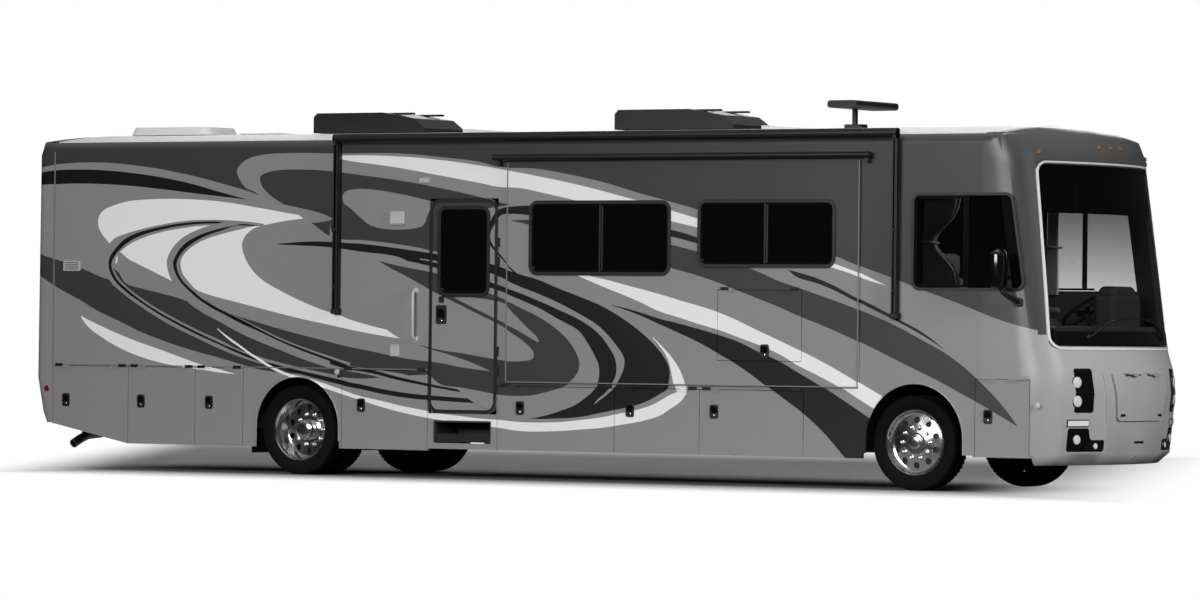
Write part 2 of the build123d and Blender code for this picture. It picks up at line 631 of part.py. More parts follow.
# Floor with the wheel wells and the entry stairwell
stair_x = (door_x[0] + 20, door_x[1] - 20)
stair_y = (840.0, half_width - wall_t - fit)
stair_z = 600.0
floor_low_z = floor_top_z - floor_t
floor_y = half_width - wall_t - fit
stair_side_t = 20.0
stair_floor_t = 30.0
with BuildPart() as floor:
    for x0, x1, right_y in ((rear_seam_x + 5, stair_x[0], floor_y), (stair_x[1], 5280, floor_y),
                            (stair_x[0] + fit, stair_x[1] - fit, stair_y[0])):
        block((x0, x1), (-right_y, floor_y), (floor_low_z, floor_top_z))
    stair_under = (stair_z - stair_floor_t, floor_low_z - fit)
    between = (stair_x[0] + fit, stair_x[1] - fit)
    block(between, side_span(-1, stair_y[0] + fit, stair_y[1]), (stair_z - stair_floor_t, stair_z))
    for x in (stair_x[0] - stair_side_t, stair_x[1]):
        block((x, x + stair_side_t), side_span(-1, stair_y[0] - stair_side_t, stair_y[1]), stair_under)
    block(between, side_span(-1, stair_y[0] - stair_side_t, stair_y[0]), stair_under)
    block(between, side_span(-1, stair_y[0] + fit, stair_y[0] + 190), (stair_z + fit, stair_z + 205))
    for side in (-1, 1):
        for x in (front_arch[0] - 60, front_arch[1] + 40, rear_arch[0] - 60, rear_arch[1] + 50):
            block((x, x + 10), side_span(side, 565, floor_y), (440, floor_low_z - fit))
    for bay_name, side, bay_x0, bay_x1 in room_bays:
        for share in (0.15, 0.5, 0.85):
            x = bay_x0 + share * (bay_x1 - bay_x0)
            block((x - 30, x + 30), side_span(side, half_width - bay_depth + 40, floor_y),
                  (floor_top_z + fit, floor_top_z + bay_lift - fit))
save(floor, "floor_deck")

# Chassis: rails, cross-members, floor joists and the hitch receiver
receiver_half = 31.75
receiver_bore = 25.65
receiver_z = 392.0
receiver_x = (-5800.0, -5520.0)
pin_x = -5735.0
pin_r = 7.95
with BuildPart() as chassis:
    for side in (-1, 1):
        block(frame_x, side_span(side, frame_rail_y - frame_rail_w / 2, frame_rail_y + frame_rail_w / 2),
              frame_z)
        block((4640, 5240), side_span(side, 330 + fit, frame_rail_y - frame_rail_w / 2 - fit), (640, 720))
    cross_half = frame_rail_y - frame_rail_w / 2 - fit
    for x in cross_x:
        block((x - 40, x + 40), (-cross_half, cross_half), (700, frame_z[1]))
    for x in joist_x:
        block((x - joist_w / 2, x + joist_w / 2), (-1225, 1225), (frame_z[1] + fit, floor_low_z - fit))
save(chassis, "chassis_frame")

# Hitch receiver under the tail, hung from both rails
with BuildPart() as hitch:
    block((receiver_x[1] - 60, receiver_x[1]), (-frame_rail_y, frame_rail_y),
          (receiver_z - receiver_half, receiver_z + receiver_half))
    for side in (-1, 1):
        block((receiver_x[1] - 60, receiver_x[1]), side_span(side, frame_rail_y - 12, frame_rail_y),
              (receiver_z - receiver_half, frame_z[0] - fit))
    block(receiver_x, (-receiver_half, receiver_half),
          (receiver_z - receiver_half, receiver_z + receiver_half))
    block((receiver_x[0] - 1, receiver_x[1] - 60), (-receiver_bore, receiver_bore),
          (receiver_z - receiver_bore, receiver_z + receiver_bore), mode=Mode.SUBTRACT)
    rod((pin_x, -60, receiver_z), (pin_x, 60, receiver_z), pin_r, mode=Mode.SUBTRACT)
save(hitch, "hitch_receiver")


with BuildPart() as engine:
    block((4560, 5300 - fit), (-330, 330), (520, frame_z[1] - fit))
    block((4100, 4560), (-190, 190), (510, 800))
save(engine, "engine_block")

shaft_lean = 1.0             # a leaning end face dips this much at its rim
shaft_front = (4100 - fit - shaft_lean, 0, 600)
shaft_rear = (rear_axle_x + 214 + fit + shaft_lean * 8, 0, 468)
with BuildPart() as shaft:
    rod(shaft_front, shaft_rear, 45)
save(shaft, "drive_shaft")

with BuildPart() as tank:
    with BuildSketch(Plane.YZ.offset(-4950)) as tank_section:
        with Locations((0, (340 + frame_z[0] + 80 - fit) / 2)):
            RectangleRounded(740, frame_z[0] + 80 - fit - 340, 60)
    extrude(tank_section.sketch, amount=1250)
save(tank, "fuel_tank")

with BuildPart() as exhaust:
    bent_tube([(4300, -380, 560), (3900, -520, 470), (1500, -520, 470)], 90, 32)
    rod((1500, -520, 470), (500, -520, 470), 105)
    bent_tube([(500, -520, 470), (-1500, -520, 470), (-2000, -525, 565), (-3300, -525, 565),
               (-3800, -525, 400), (-5050, -560, 400), (-5330, -700, 345)], 90, 32)
    for x in (2600, 0):
        block((x, x + 20), (-520, -470.3), (480, 660))
save(exhaust, "exhaust_pipe")


def leaf_spring(x, side, seat_z):
    """A pack of leaves under one rail, with its hangers."""
    top_z = frame_z[0] - fit
    with BuildSketch(Plane.XZ.offset(-side * (frame_rail_y + 35))) as pack:
        with BuildLine():
            ThreePointArc((x - 700, top_z - 60), (x, seat_z), (x + 700, top_z - 60))
            Line((x + 700, top_z - 60), (x + 700, top_z))
            Line((x + 700, top_z), (x + 640, top_z))
            ThreePointArc((x + 640, top_z), (x, seat_z + 46), (x - 640, top_z))
            Line((x - 640, top_z), (x - 700, top_z))
            Line((x - 700, top_z), (x - 700, top_z - 60))
        make_face()
    extrude(pack.sketch, amount=side * 70)


with BuildPart() as front_axle:
    with BuildSketch(Plane.YZ.offset(front_axle_x - 45)) as beam:
        with BuildLine():
            Polyline((-kingpin_y, 470), (-kingpin_y, 394), (60 - kingpin_y, 394), (-700, 340),
                     (700, 340), (kingpin_y - 60, 394), (kingpin_y, 394), (kingpin_y, 470),
                     (kingpin_y - 60, 470), (700, 412), (-700, 412), (60 - kingpin_y, 470), close=True)
        make_face()
    extrude(beam.sketch, amount=90)
    for side in (-1, 1):
        with BuildSketch(Plane.XY.offset(394)) as eye:
            with Locations((front_axle_x, side * kingpin_y)):
                Circle(45)
        extrude(eye.sketch, amount=76)
        block((front_axle_x - 60, front_axle_x + 60), side_span(side, kingpin_y - 8, kingpin_y + 60),
              (380, 480), mode=Mode.SUBTRACT)
        extrude(eye.sketch, amount=76)
        rod((front_axle_x, side * kingpin_y, 380), (front_axle_x, side * kingpin_y, 480),
            kingpin_r + fit, mode=Mode.SUBTRACT)
        leaf_spring(front_axle_x, side, 412)
save(front_axle, "front_axle")

with BuildPart() as rear_axle:
    rod((rear_axle_x, -900, hub_z), (rear_axle_x, 900, hub_z), 62)
    rod((rear_axle_x, -1090, hub_z), (rear_axle_x, 1090, hub_z), spindle_r)
    with BuildSketch(Plane.XZ.offset(-110)) as housing:
        with Locations((rear_axle_x, hub_z)):
            Circle(170)
    extrude(housing.sketch, amount=220)
    rod((rear_axle_x + 100, 0, hub_z + 26), (rear_axle_x + 214, 0, hub_z + 36), 60)
    for side in (-1, 1):
        leaf_spring(rear_axle_x, side, hub_z + 56)
save(rear_axle, "rear_axle")


def drum(x, side, span, radius, mode=Mode.ADD):
    """A many-sided drum about a wheel's axis, between two distances from the centre line."""
    near, far = side_span(side, *span)
    with BuildSketch(Plane(origin=(x, near, hub_z), x_dir=(1, 0, 0), z_dir=(0, 1, 0))) as round_end:
        RegularPolygon(radius, wheel_flats, major_radius=False, rotation=180 / wheel_flats)
    extrude(round_end.sketch, amount=far - near, mode=mode)


def cone_drum(x, rows, mode=Mode.ADD):
    """The same through rows of (place along Y, radius)."""
    sections = []
    for y, radius in rows:
        with BuildSketch(Plane(origin=(x, y, hub_z), x_dir=(1, 0, 0), z_dir=(0, 1, 0))) as ring:
            RegularPolygon(radius, wheel_flats, major_radius=False, rotation=180 / wheel_flats)
        sections.append(ring.sketch)
    loft(sections=sections, ruled=True, mode=mode)


def tyre_body(x, side, middle_y):
    """A tyre with tread, shoulders and side walls down to the bead."""
    middle = side * middle_y
    bead_y = rim_w / 2
    wall_y = tyre_w / 2
    shoulder = [(wall_y, wall_r), (wall_y - 11, hub_z - 16), (wall_y - 25, hub_z)]
    cone_drum(x, [(middle - y, r) for y, r in shoulder] + [(middle + y, r) for y, r in shoulder[::-1]])
    for end in (-1, 1):
        cone_drum(x, [(middle + end * bead_y, rim_r + 2), (middle + end * (wall_y + 2), wall_r - 10)],
                  mode=Mode.SUBTRACT)
    drum(x, side, (middle_y - bead_y, middle_y + bead_y), seat_r + fit, mode=Mode.SUBTRACT)


def rim_barrel(x, side, middle_y):
    """A wheel's barrel with both flanges, still solid inside."""
    drum(x, side, (middle_y - flange, middle_y + flange), seat_r)
    for end in (-1, 1):
        drum(x, side, (middle_y + end * flange, middle_y + end * rim_w / 2), rim_r)


def hand_holes(x, side, near_y, ring_r):
    """The ring of round holes through a wheel's disc."""
    with BuildSketch(Plane(origin=(x, side * near_y, hub_z), x_dir=(1, 0, 0), z_dir=(0, side, 0))) as holes:
        with PolarLocations(ring_r, 10):
            RegularPolygon(30, 12)
    extrude(holes.sketch, amount=60, mode=Mode.SUBTRACT)


# Wheels: distances along the axle are from the centre line of the coach
flange = rim_w / 2 + 8
seat_r = rim_r - 10
bore_r = rim_r - 24
waist_r = 262.0              # tube between the twin wheels
waist_bore_r = 248.0
twin_gap = (twin_inner_y + flange, twin_outer_y - flange)
disc_y = (twin_outer_y + twin_inner_y) / 2
wall_r = 366.0               # height of a tyre's widest line
for side_name, side in (("right", -1), ("left", 1)):
    with BuildPart() as front_tyre:
        tyre_body(front_axle_x, side, front_wheel_y)
    save(front_tyre, f"front_tyre_{side_name}")
    with BuildPart() as front_wheel:
        rim_barrel(front_axle_x, side, front_wheel_y)
        drum(front_axle_x, side, (front_wheel_y - flange, front_wheel_y + 56), bore_r, mode=Mode.SUBTRACT)
        drum(front_axle_x, side, (front_wheel_y + 76, front_wheel_y + flange), bore_r, mode=Mode.SUBTRACT)
        drum(front_axle_x, side, (front_wheel_y + 46, front_wheel_y + 90), 120)
        drum(front_axle_x, side, (front_wheel_y + 90, front_wheel_y + 124), 70)
        hand_holes(front_axle_x, side, front_wheel_y + 40, 205)
        rod((front_axle_x, side * (front_wheel_y + 40), hub_z), (front_axle_x, side * (front_wheel_y + 74), hub_z),
            spindle_r + fit, mode=Mode.SUBTRACT)
    save(front_wheel, f"front_wheel_{side_name}")
    with BuildPart() as rear_tyres:
        tyre_body(rear_axle_x, side, twin_inner_y)
        tyre_body(rear_axle_x, side, twin_outer_y)
    save(rear_tyres, f"rear_tyres_{side_name}")
    with BuildPart() as rear_wheels:
        rim_barrel(rear_axle_x, side, twin_inner_y)
        rim_barrel(rear_axle_x, side, twin_outer_y)
        drum(rear_axle_x, side, twin_gap, waist_r)
        drum(rear_axle_x, side, (twin_inner_y - flange, twin_gap[0] - 10), bore_r, mode=Mode.SUBTRACT)
        drum(rear_axle_x, side, (twin_gap[1] + 10, twin_outer_y + flange), bore_r, mode=Mode.SUBTRACT)
        drum(rear_axle_x, side, (twin_gap[0] - 10, disc_y - 12), waist_bore_r, mode=Mode.SUBTRACT)
        drum(rear_axle_x, side, (disc_y + 12, twin_gap[1] + 10), waist_bore_r, mode=Mode.SUBTRACT)
        drum(rear_axle_x, side, (disc_y - 22, disc_y + 150), 110)
        drum(rear_axle_x, side, (disc_y + 150, disc_y + 209), 78)
        hand_holes(rear_axle_x, side, disc_y - 30, 190)
        rod((rear_axle_x, side * (disc_y - 30), hub_z), (rear_axle_x, side * 1094, hub_z),
            spindle_r + fit, mode=Mode.SUBTRACT)
    save(rear_wheels, f"rear_wheels_{side_name}")
    with BuildPart() as knuckle_part:
        rod((front_axle_x, side * kingpin_y, 342), (front_axle_x, side * kingpin_y, 522), kingpin_r)
        for z0, z1 in ((342, 394 - fit), (470 + fit, 522)):
            with BuildSketch(Plane.XY.offset(z0)) as lug:
                with Locations((front_axle_x, side * kingpin_y)):
                    Circle(40)
            extrude(lug.sketch, amount=z1 - z0)
            block((front_axle_x - 38, front_axle_x + 38), side_span(side, kingpin_y, kingpin_y + 60),
                  (z0, z1))
        block((front_axle_x - 38, front_axle_x + 38), side_span(side, kingpin_y + 48, kingpin_y + 72),
              (342, 522))
        rod((front_axle_x, side * (kingpin_y + 60), hub_z), (front_axle_x, side * (front_wheel_y + 70), hub_z),
            spindle_r)
    save(knuckle_part, f"steering_knuckle_{side_name}")

# Cab: dashboard under the windshield, steering wheel and seats
seat_y = 620.0
wheel_centre = Vector(4860, seat_y, 1640)
column_lean = 38.0
column = Vector(-sin(radians(column_lean)), 0, cos(radians(column_lean)))
with BuildPart() as dash:
    cap_solid([(floor_top_z + fit, 28), (1100, 26), (1300, 90), (1370, 100)], front_r, front_corner_r,
              wall_t + 6, 4980, front_x, 1)
    start = wheel_centre - column * 32
    rod(tuple(start - column * 330), tuple(start), 30)
save(dash, "dashboard")

with BuildPart() as steering_wheel:
    plane = Plane(origin=tuple(wheel_centre), x_dir=(0, 1, 0), z_dir=tuple(column))
    with BuildSketch(plane.offset(-14)) as rim_ring:
        RegularPolygon(230, 32)
        RegularPolygon(202, 32, mode=Mode.SUBTRACT)
    extrude(rim_ring.sketch, amount=28)
    with BuildSketch(plane.offset(-12)) as spokes:
        Circle(62)
        with PolarLocations(0, 4, start_angle=45):
            with Locations((110, 0)):
                Rectangle(210, 30)
    extrude(spokes.sketch, amount=20)
    rod(tuple(wheel_centre - column * (32 - fit)), tuple(wheel_centre), 34)
save(steering_wheel, "steering_wheel")

with BuildPart() as seats:
    for side in (-1, 1):
        block((4130, 4620), side_span(side, seat_y - 250, seat_y + 250), (1390, 1530))
        block((4060, 4200), side_span(side, seat_y - 240, seat_y + 240), (1500, 2150))
        block((4250, 4500), side_span(side, seat_y - 150, seat_y + 150), (floor_top_z + fit, 1400))
save(seats, "cab_seats")

with BuildPart() as curtains:
    for side in (-1, 1):
        block((4180, 4560), side_span(side, half_width - wall_t - 46, half_width - wall_t - fit), (1760, 2760))
save(curtains, "cab_curtains")

# Outside fittings
mirror_x = (5040.0, 5130.0)
mirror_y = (1345.0, 1530.0)
mirror_z = (1812.0, 2176.0)
with BuildPart() as mirrors:
    for side in (-1, 1):
        with BuildSketch(Plane.YZ.offset(mirror_x[0])) as head:
            with Locations((side * (mirror_y[0] + mirror_y[1]) / 2, (mirror_z[0] + mirror_z[1]) / 2)):
                RectangleRounded(mirror_y[1] - mirror_y[0], mirror_z[1] - mirror_z[0], 45)
        extrude(head.sketch, amount=mirror_x[1] - mirror_x[0])
        block((5012, 5236), side_span(side, half_width + fit, half_width + 24), (1668, 1752))
        rod((5085, side * (half_width + 12), 1700), (5085, side * 1430, 1830), 14)
save(mirrors, "door_mirrors")

awning_x = (-2180.0, 3980.0)
awning_y = half_width + 52
awning_z = 3226.0
with BuildPart() as awning:
    rod((awning_x[0], -awning_y, awning_z), (awning_x[1], -awning_y, awning_z), 44)
    for x in (awning_x[0] + 12, awning_x[1] - 52):
        block((x, x + 40), side_span(-1, half_width + fit, half_width + 46), (1545, awning_z))
save(awning, "patio_awning")

roof_seat = roof_crown_z + fit
air_units = [(-3115.0, 3515.0), (359.0, 3510.0)]
with BuildPart() as air:
    for x0, top in air_units:
        with BuildSketch(Plane.XZ.offset(-350)) as shroud:
            with BuildLine():
                Polyline((x0, roof_seat), (x0, top - 40), (x0 + 40, top), (x0 + 820, top),
                         (x0 + 1180, top - 60), (x0 + 1308, roof_seat + 40), (x0 + 1308, roof_seat),
                         close=True)
            make_face()
        extrude(shroud.sketch, amount=700)
save(air, "roof_air_units")

with BuildPart() as vents:
    with BuildSketch(Plane.XY.offset(roof_seat)) as dome:
        with Locations((-4925, 0)):
            RectangleRounded(990, 600, 120)
    extrude(dome.sketch, amount=80, taper=25)
    with BuildSketch(Plane.XY.offset(roof_seat)) as small_vent:
        with Locations((-3870, 0)):
            Rectangle(460, 460)
    extrude(small_vent.sketch, amount=12, taper=20)
    block((2700, 2880), (-60, 60), (roof_seat, 3360))
    block((2760, 2800), (-20, 20), (3360 + fit, 3520))
    with BuildSketch(Plane.XZ.offset(-400)) as wing:
        with Locations((2865, 3535)):
            RectangleRounded(310, 70, 30)
    extrude(wing.sketch, amount=800)
save(vents, "roof_fittings")

with BuildPart() as flaps:
    for side in (-1, 1):
        block((-3196, -3190), side_span(side, 680, 1220), (200, 440))
        block((-3196, -3172.3), side_span(side, 680, 1220), (440.3, 470))
save(flaps, "mud_flaps")
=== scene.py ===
import json
import math

import bpy
from mathutils import Matrix, Vector

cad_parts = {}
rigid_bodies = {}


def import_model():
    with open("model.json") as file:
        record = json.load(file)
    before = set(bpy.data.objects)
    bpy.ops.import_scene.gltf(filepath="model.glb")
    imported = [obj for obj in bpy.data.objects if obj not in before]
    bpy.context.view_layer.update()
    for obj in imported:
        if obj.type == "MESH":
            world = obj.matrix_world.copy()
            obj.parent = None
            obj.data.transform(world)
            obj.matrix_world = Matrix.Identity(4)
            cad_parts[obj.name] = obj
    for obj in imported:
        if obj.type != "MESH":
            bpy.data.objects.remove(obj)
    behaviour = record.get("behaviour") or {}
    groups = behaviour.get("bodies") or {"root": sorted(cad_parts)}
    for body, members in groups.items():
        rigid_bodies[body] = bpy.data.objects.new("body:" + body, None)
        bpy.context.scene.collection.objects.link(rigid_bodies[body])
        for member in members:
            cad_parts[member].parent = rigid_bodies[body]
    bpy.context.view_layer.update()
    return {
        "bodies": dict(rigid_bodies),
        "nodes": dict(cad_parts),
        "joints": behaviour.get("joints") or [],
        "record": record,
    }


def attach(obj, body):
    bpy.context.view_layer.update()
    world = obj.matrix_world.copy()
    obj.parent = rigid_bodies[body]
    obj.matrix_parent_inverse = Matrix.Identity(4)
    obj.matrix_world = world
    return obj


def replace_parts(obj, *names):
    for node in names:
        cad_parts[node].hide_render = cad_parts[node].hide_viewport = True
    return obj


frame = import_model()
nodes = frame["nodes"]
scene = bpy.context.scene

# Camera: place in the row frame, aim and roll in radians, focal length in photo pixels
CAMERA_PLACE = Vector((29.606, -47.290, 1.364))
CAMERA_TURN = 0.5593717
CAMERA_DIP = -0.0061711
CAMERA_ROLL = 0.0107911
FOCAL_PX = 5833.28
PHOTO_W = 1200.0
PHOTO_H = 600.0
SENSOR_MM = 36.0

look = Vector((-math.sin(CAMERA_TURN) * math.cos(CAMERA_DIP),
               math.cos(CAMERA_TURN) * math.cos(CAMERA_DIP), -math.sin(CAMERA_DIP)))
level_right = Vector((math.cos(CAMERA_TURN), math.sin(CAMERA_TURN), 0.0))
level_up = level_right.cross(look)
cam_right = level_right * math.cos(CAMERA_ROLL) + level_up * math.sin(CAMERA_ROLL)
cam_up = level_up * math.cos(CAMERA_ROLL) - level_right * math.sin(CAMERA_ROLL)

camera_data = bpy.data.cameras.new("camera")
camera_data.sensor_width = SENSOR_MM
camera_data.lens = FOCAL_PX / PHOTO_W * SENSOR_MM
camera_data.clip_start = 1.0
camera_data.clip_end = 400.0
camera = bpy.data.objects.new("camera", camera_data)
camera.matrix_world = Matrix((
    (cam_right.x, cam_up.x, -look.x, CAMERA_PLACE.x),
    (cam_right.y, cam_up.y, -look.y, CAMERA_PLACE.y),
    (cam_right.z, cam_up.z, -look.z, CAMERA_PLACE.z),
    (0.0, 0.0, 0.0, 1.0)))
scene.collection.objects.link(camera)
scene.camera = camera
scene.view_settings.view_transform = "Standard"

# Main sizes, metres
WALL_Y = 1.2825
HUB_Z = 0.432
FRONT_AXLE_X = 4.090
REAR_AXLE_X = -2.650
FRONT_WHEEL_Y = 1.050
TWIN_OUTER_Y = 1.090
TWIN_INNER_Y = 0.790
BAY_FACE_Y = 1.3045
INNER_WALL_Y = 1.236
FACE_SLACK = 0.003
SIDES = ((-1, "right"), (1, "left"))


def wall_point(px):
    """The point of the right wall's plane seen at a photo pixel, as (x, z)."""
    ray = look + cam_right * ((px[0] - PHOTO_W / 2) / FOCAL_PX) \
        - cam_up * ((px[1] - PHOTO_H / 2) / FOCAL_PX)
    reach = (-WALL_Y - CAMERA_PLACE.y) / ray.y
    place = CAMERA_PLACE + ray * reach
    return place.x, place.z


# ---------------------------------------------------------------- materials
def srgb(level):
    """Linear value of an 8 bit grey."""
    c = level / 255.0
    return c / 12.92 if c <= 0.04045 else ((c + 0.055) / 1.055) ** 2.4


def grey(level):
    v = srgb(level)
    return (v, v, v, 1.0)


SILVER = grey(137)
DARK = grey(58)
BLACK = grey(17)
WHITE = grey(238)
DUST = grey(88)
FILM = grey(120)


class Tree:
    """Short calls for adding nodes to a node tree."""

    def __init__(self, tree):
        self.tree = tree

    def node(self, kind, **settings):
        n = self.tree.nodes.new(kind)
        for key, value in settings.items():
            setattr(n, key, value)
        return n

    def link(self, a, b):
        self.tree.links.new(a, b)

    def put(self, socket, value):
        if hasattr(value, "links"):
            self.link(value, socket)
        else:
            socket.default_value = value

    def math(self, operation, a, b=None, c=None, clamp=False):
        n = self.node("ShaderNodeMath", operation=operation, use_clamp=clamp)
        self.put(n.inputs[0], a)
        if b is not None:
            self.put(n.inputs[1], b)
        if c is not None:
            self.put(n.inputs[2], c)
        return n.outputs[0]

    def mix(self, share, a, b):
        n = self.node("ShaderNodeMix", data_type="RGBA")
        self.put(n.inputs[0], share)
        self.put(n.inputs[6], a)
        self.put(n.inputs[7], b)
        return n.outputs[2]

    def coords(self):
        c = self.node("ShaderNodeTexCoord")
        s = self.node("ShaderNodeSeparateXYZ")
        self.link(c.outputs["Object"], s.inputs[0])
        return c.outputs["Object"], s.outputs[0], s.outputs[1], s.outputs[2]

    def curve(self, value, points):
        n = self.node("ShaderNodeFloatCurve")
        line = n.mapping.curves[0]
        line.points[0].location = points[0]
        line.points[1].location = points[-1]
        for p in points[1:-1]:
            line.points.new(p[0], p[1])
        for p in line.points:
            p.handle_type = "AUTO"
        n.mapping.update()
        self.link(value, n.inputs["Value"])
        return n.outputs["Value"]


# Livery outlines as photo pixels, traced on enlarged crops with a grid. The kind says at which
# end an area is blunt, where its outline needs finer steps.
LEFT_NOSE = "left_nose"
RIGHT_NOSE = "right_nose"
PLAIN = "plain"

# Stretches that several areas share
SWEEP_FOOT = [(118, 253), (130, 260), (150, 270), (172, 281), (185, 287), (197, 290.5)]
SWEEP_MIDDLE = [(210, 295), (240, 303), (280, 313.5), (300, 318.5), (330, 325)]
SWEEP_TIP = [(350, 329.5), (370, 333.5), (400, 338.5), (440, 343), (470, 346)]
BAND_FOOT = [(127, 284), (140, 288), (160, 293), (180, 298.5)]
BAND_MIDDLE = [(235, 315), (260, 323), (280, 329), (300, 334.5)]
BAND_TIP = [(320, 339.5), (350, 347), (370, 351), (400, 357.5), (420, 360.5), (440, 363), (460, 367),
            (490, 371)]
CENTRE_UPPER = [(242, 246), (246, 235), (255, 228), (270, 224), (285, 221), (300, 219), (312, 218),
                (330, 219), (360, 225), (400, 250), (440, 300), (470, 346)]
CENTRE_LOWER = [(242, 246), (243, 252), (247, 262), (260, 278), (280, 290.5), (300, 300.5), (320, 309),
                (340, 315.5), (350, 319.5), (370, 325.5), (390, 330.5), (420, 337), (440, 341), (470, 346)]

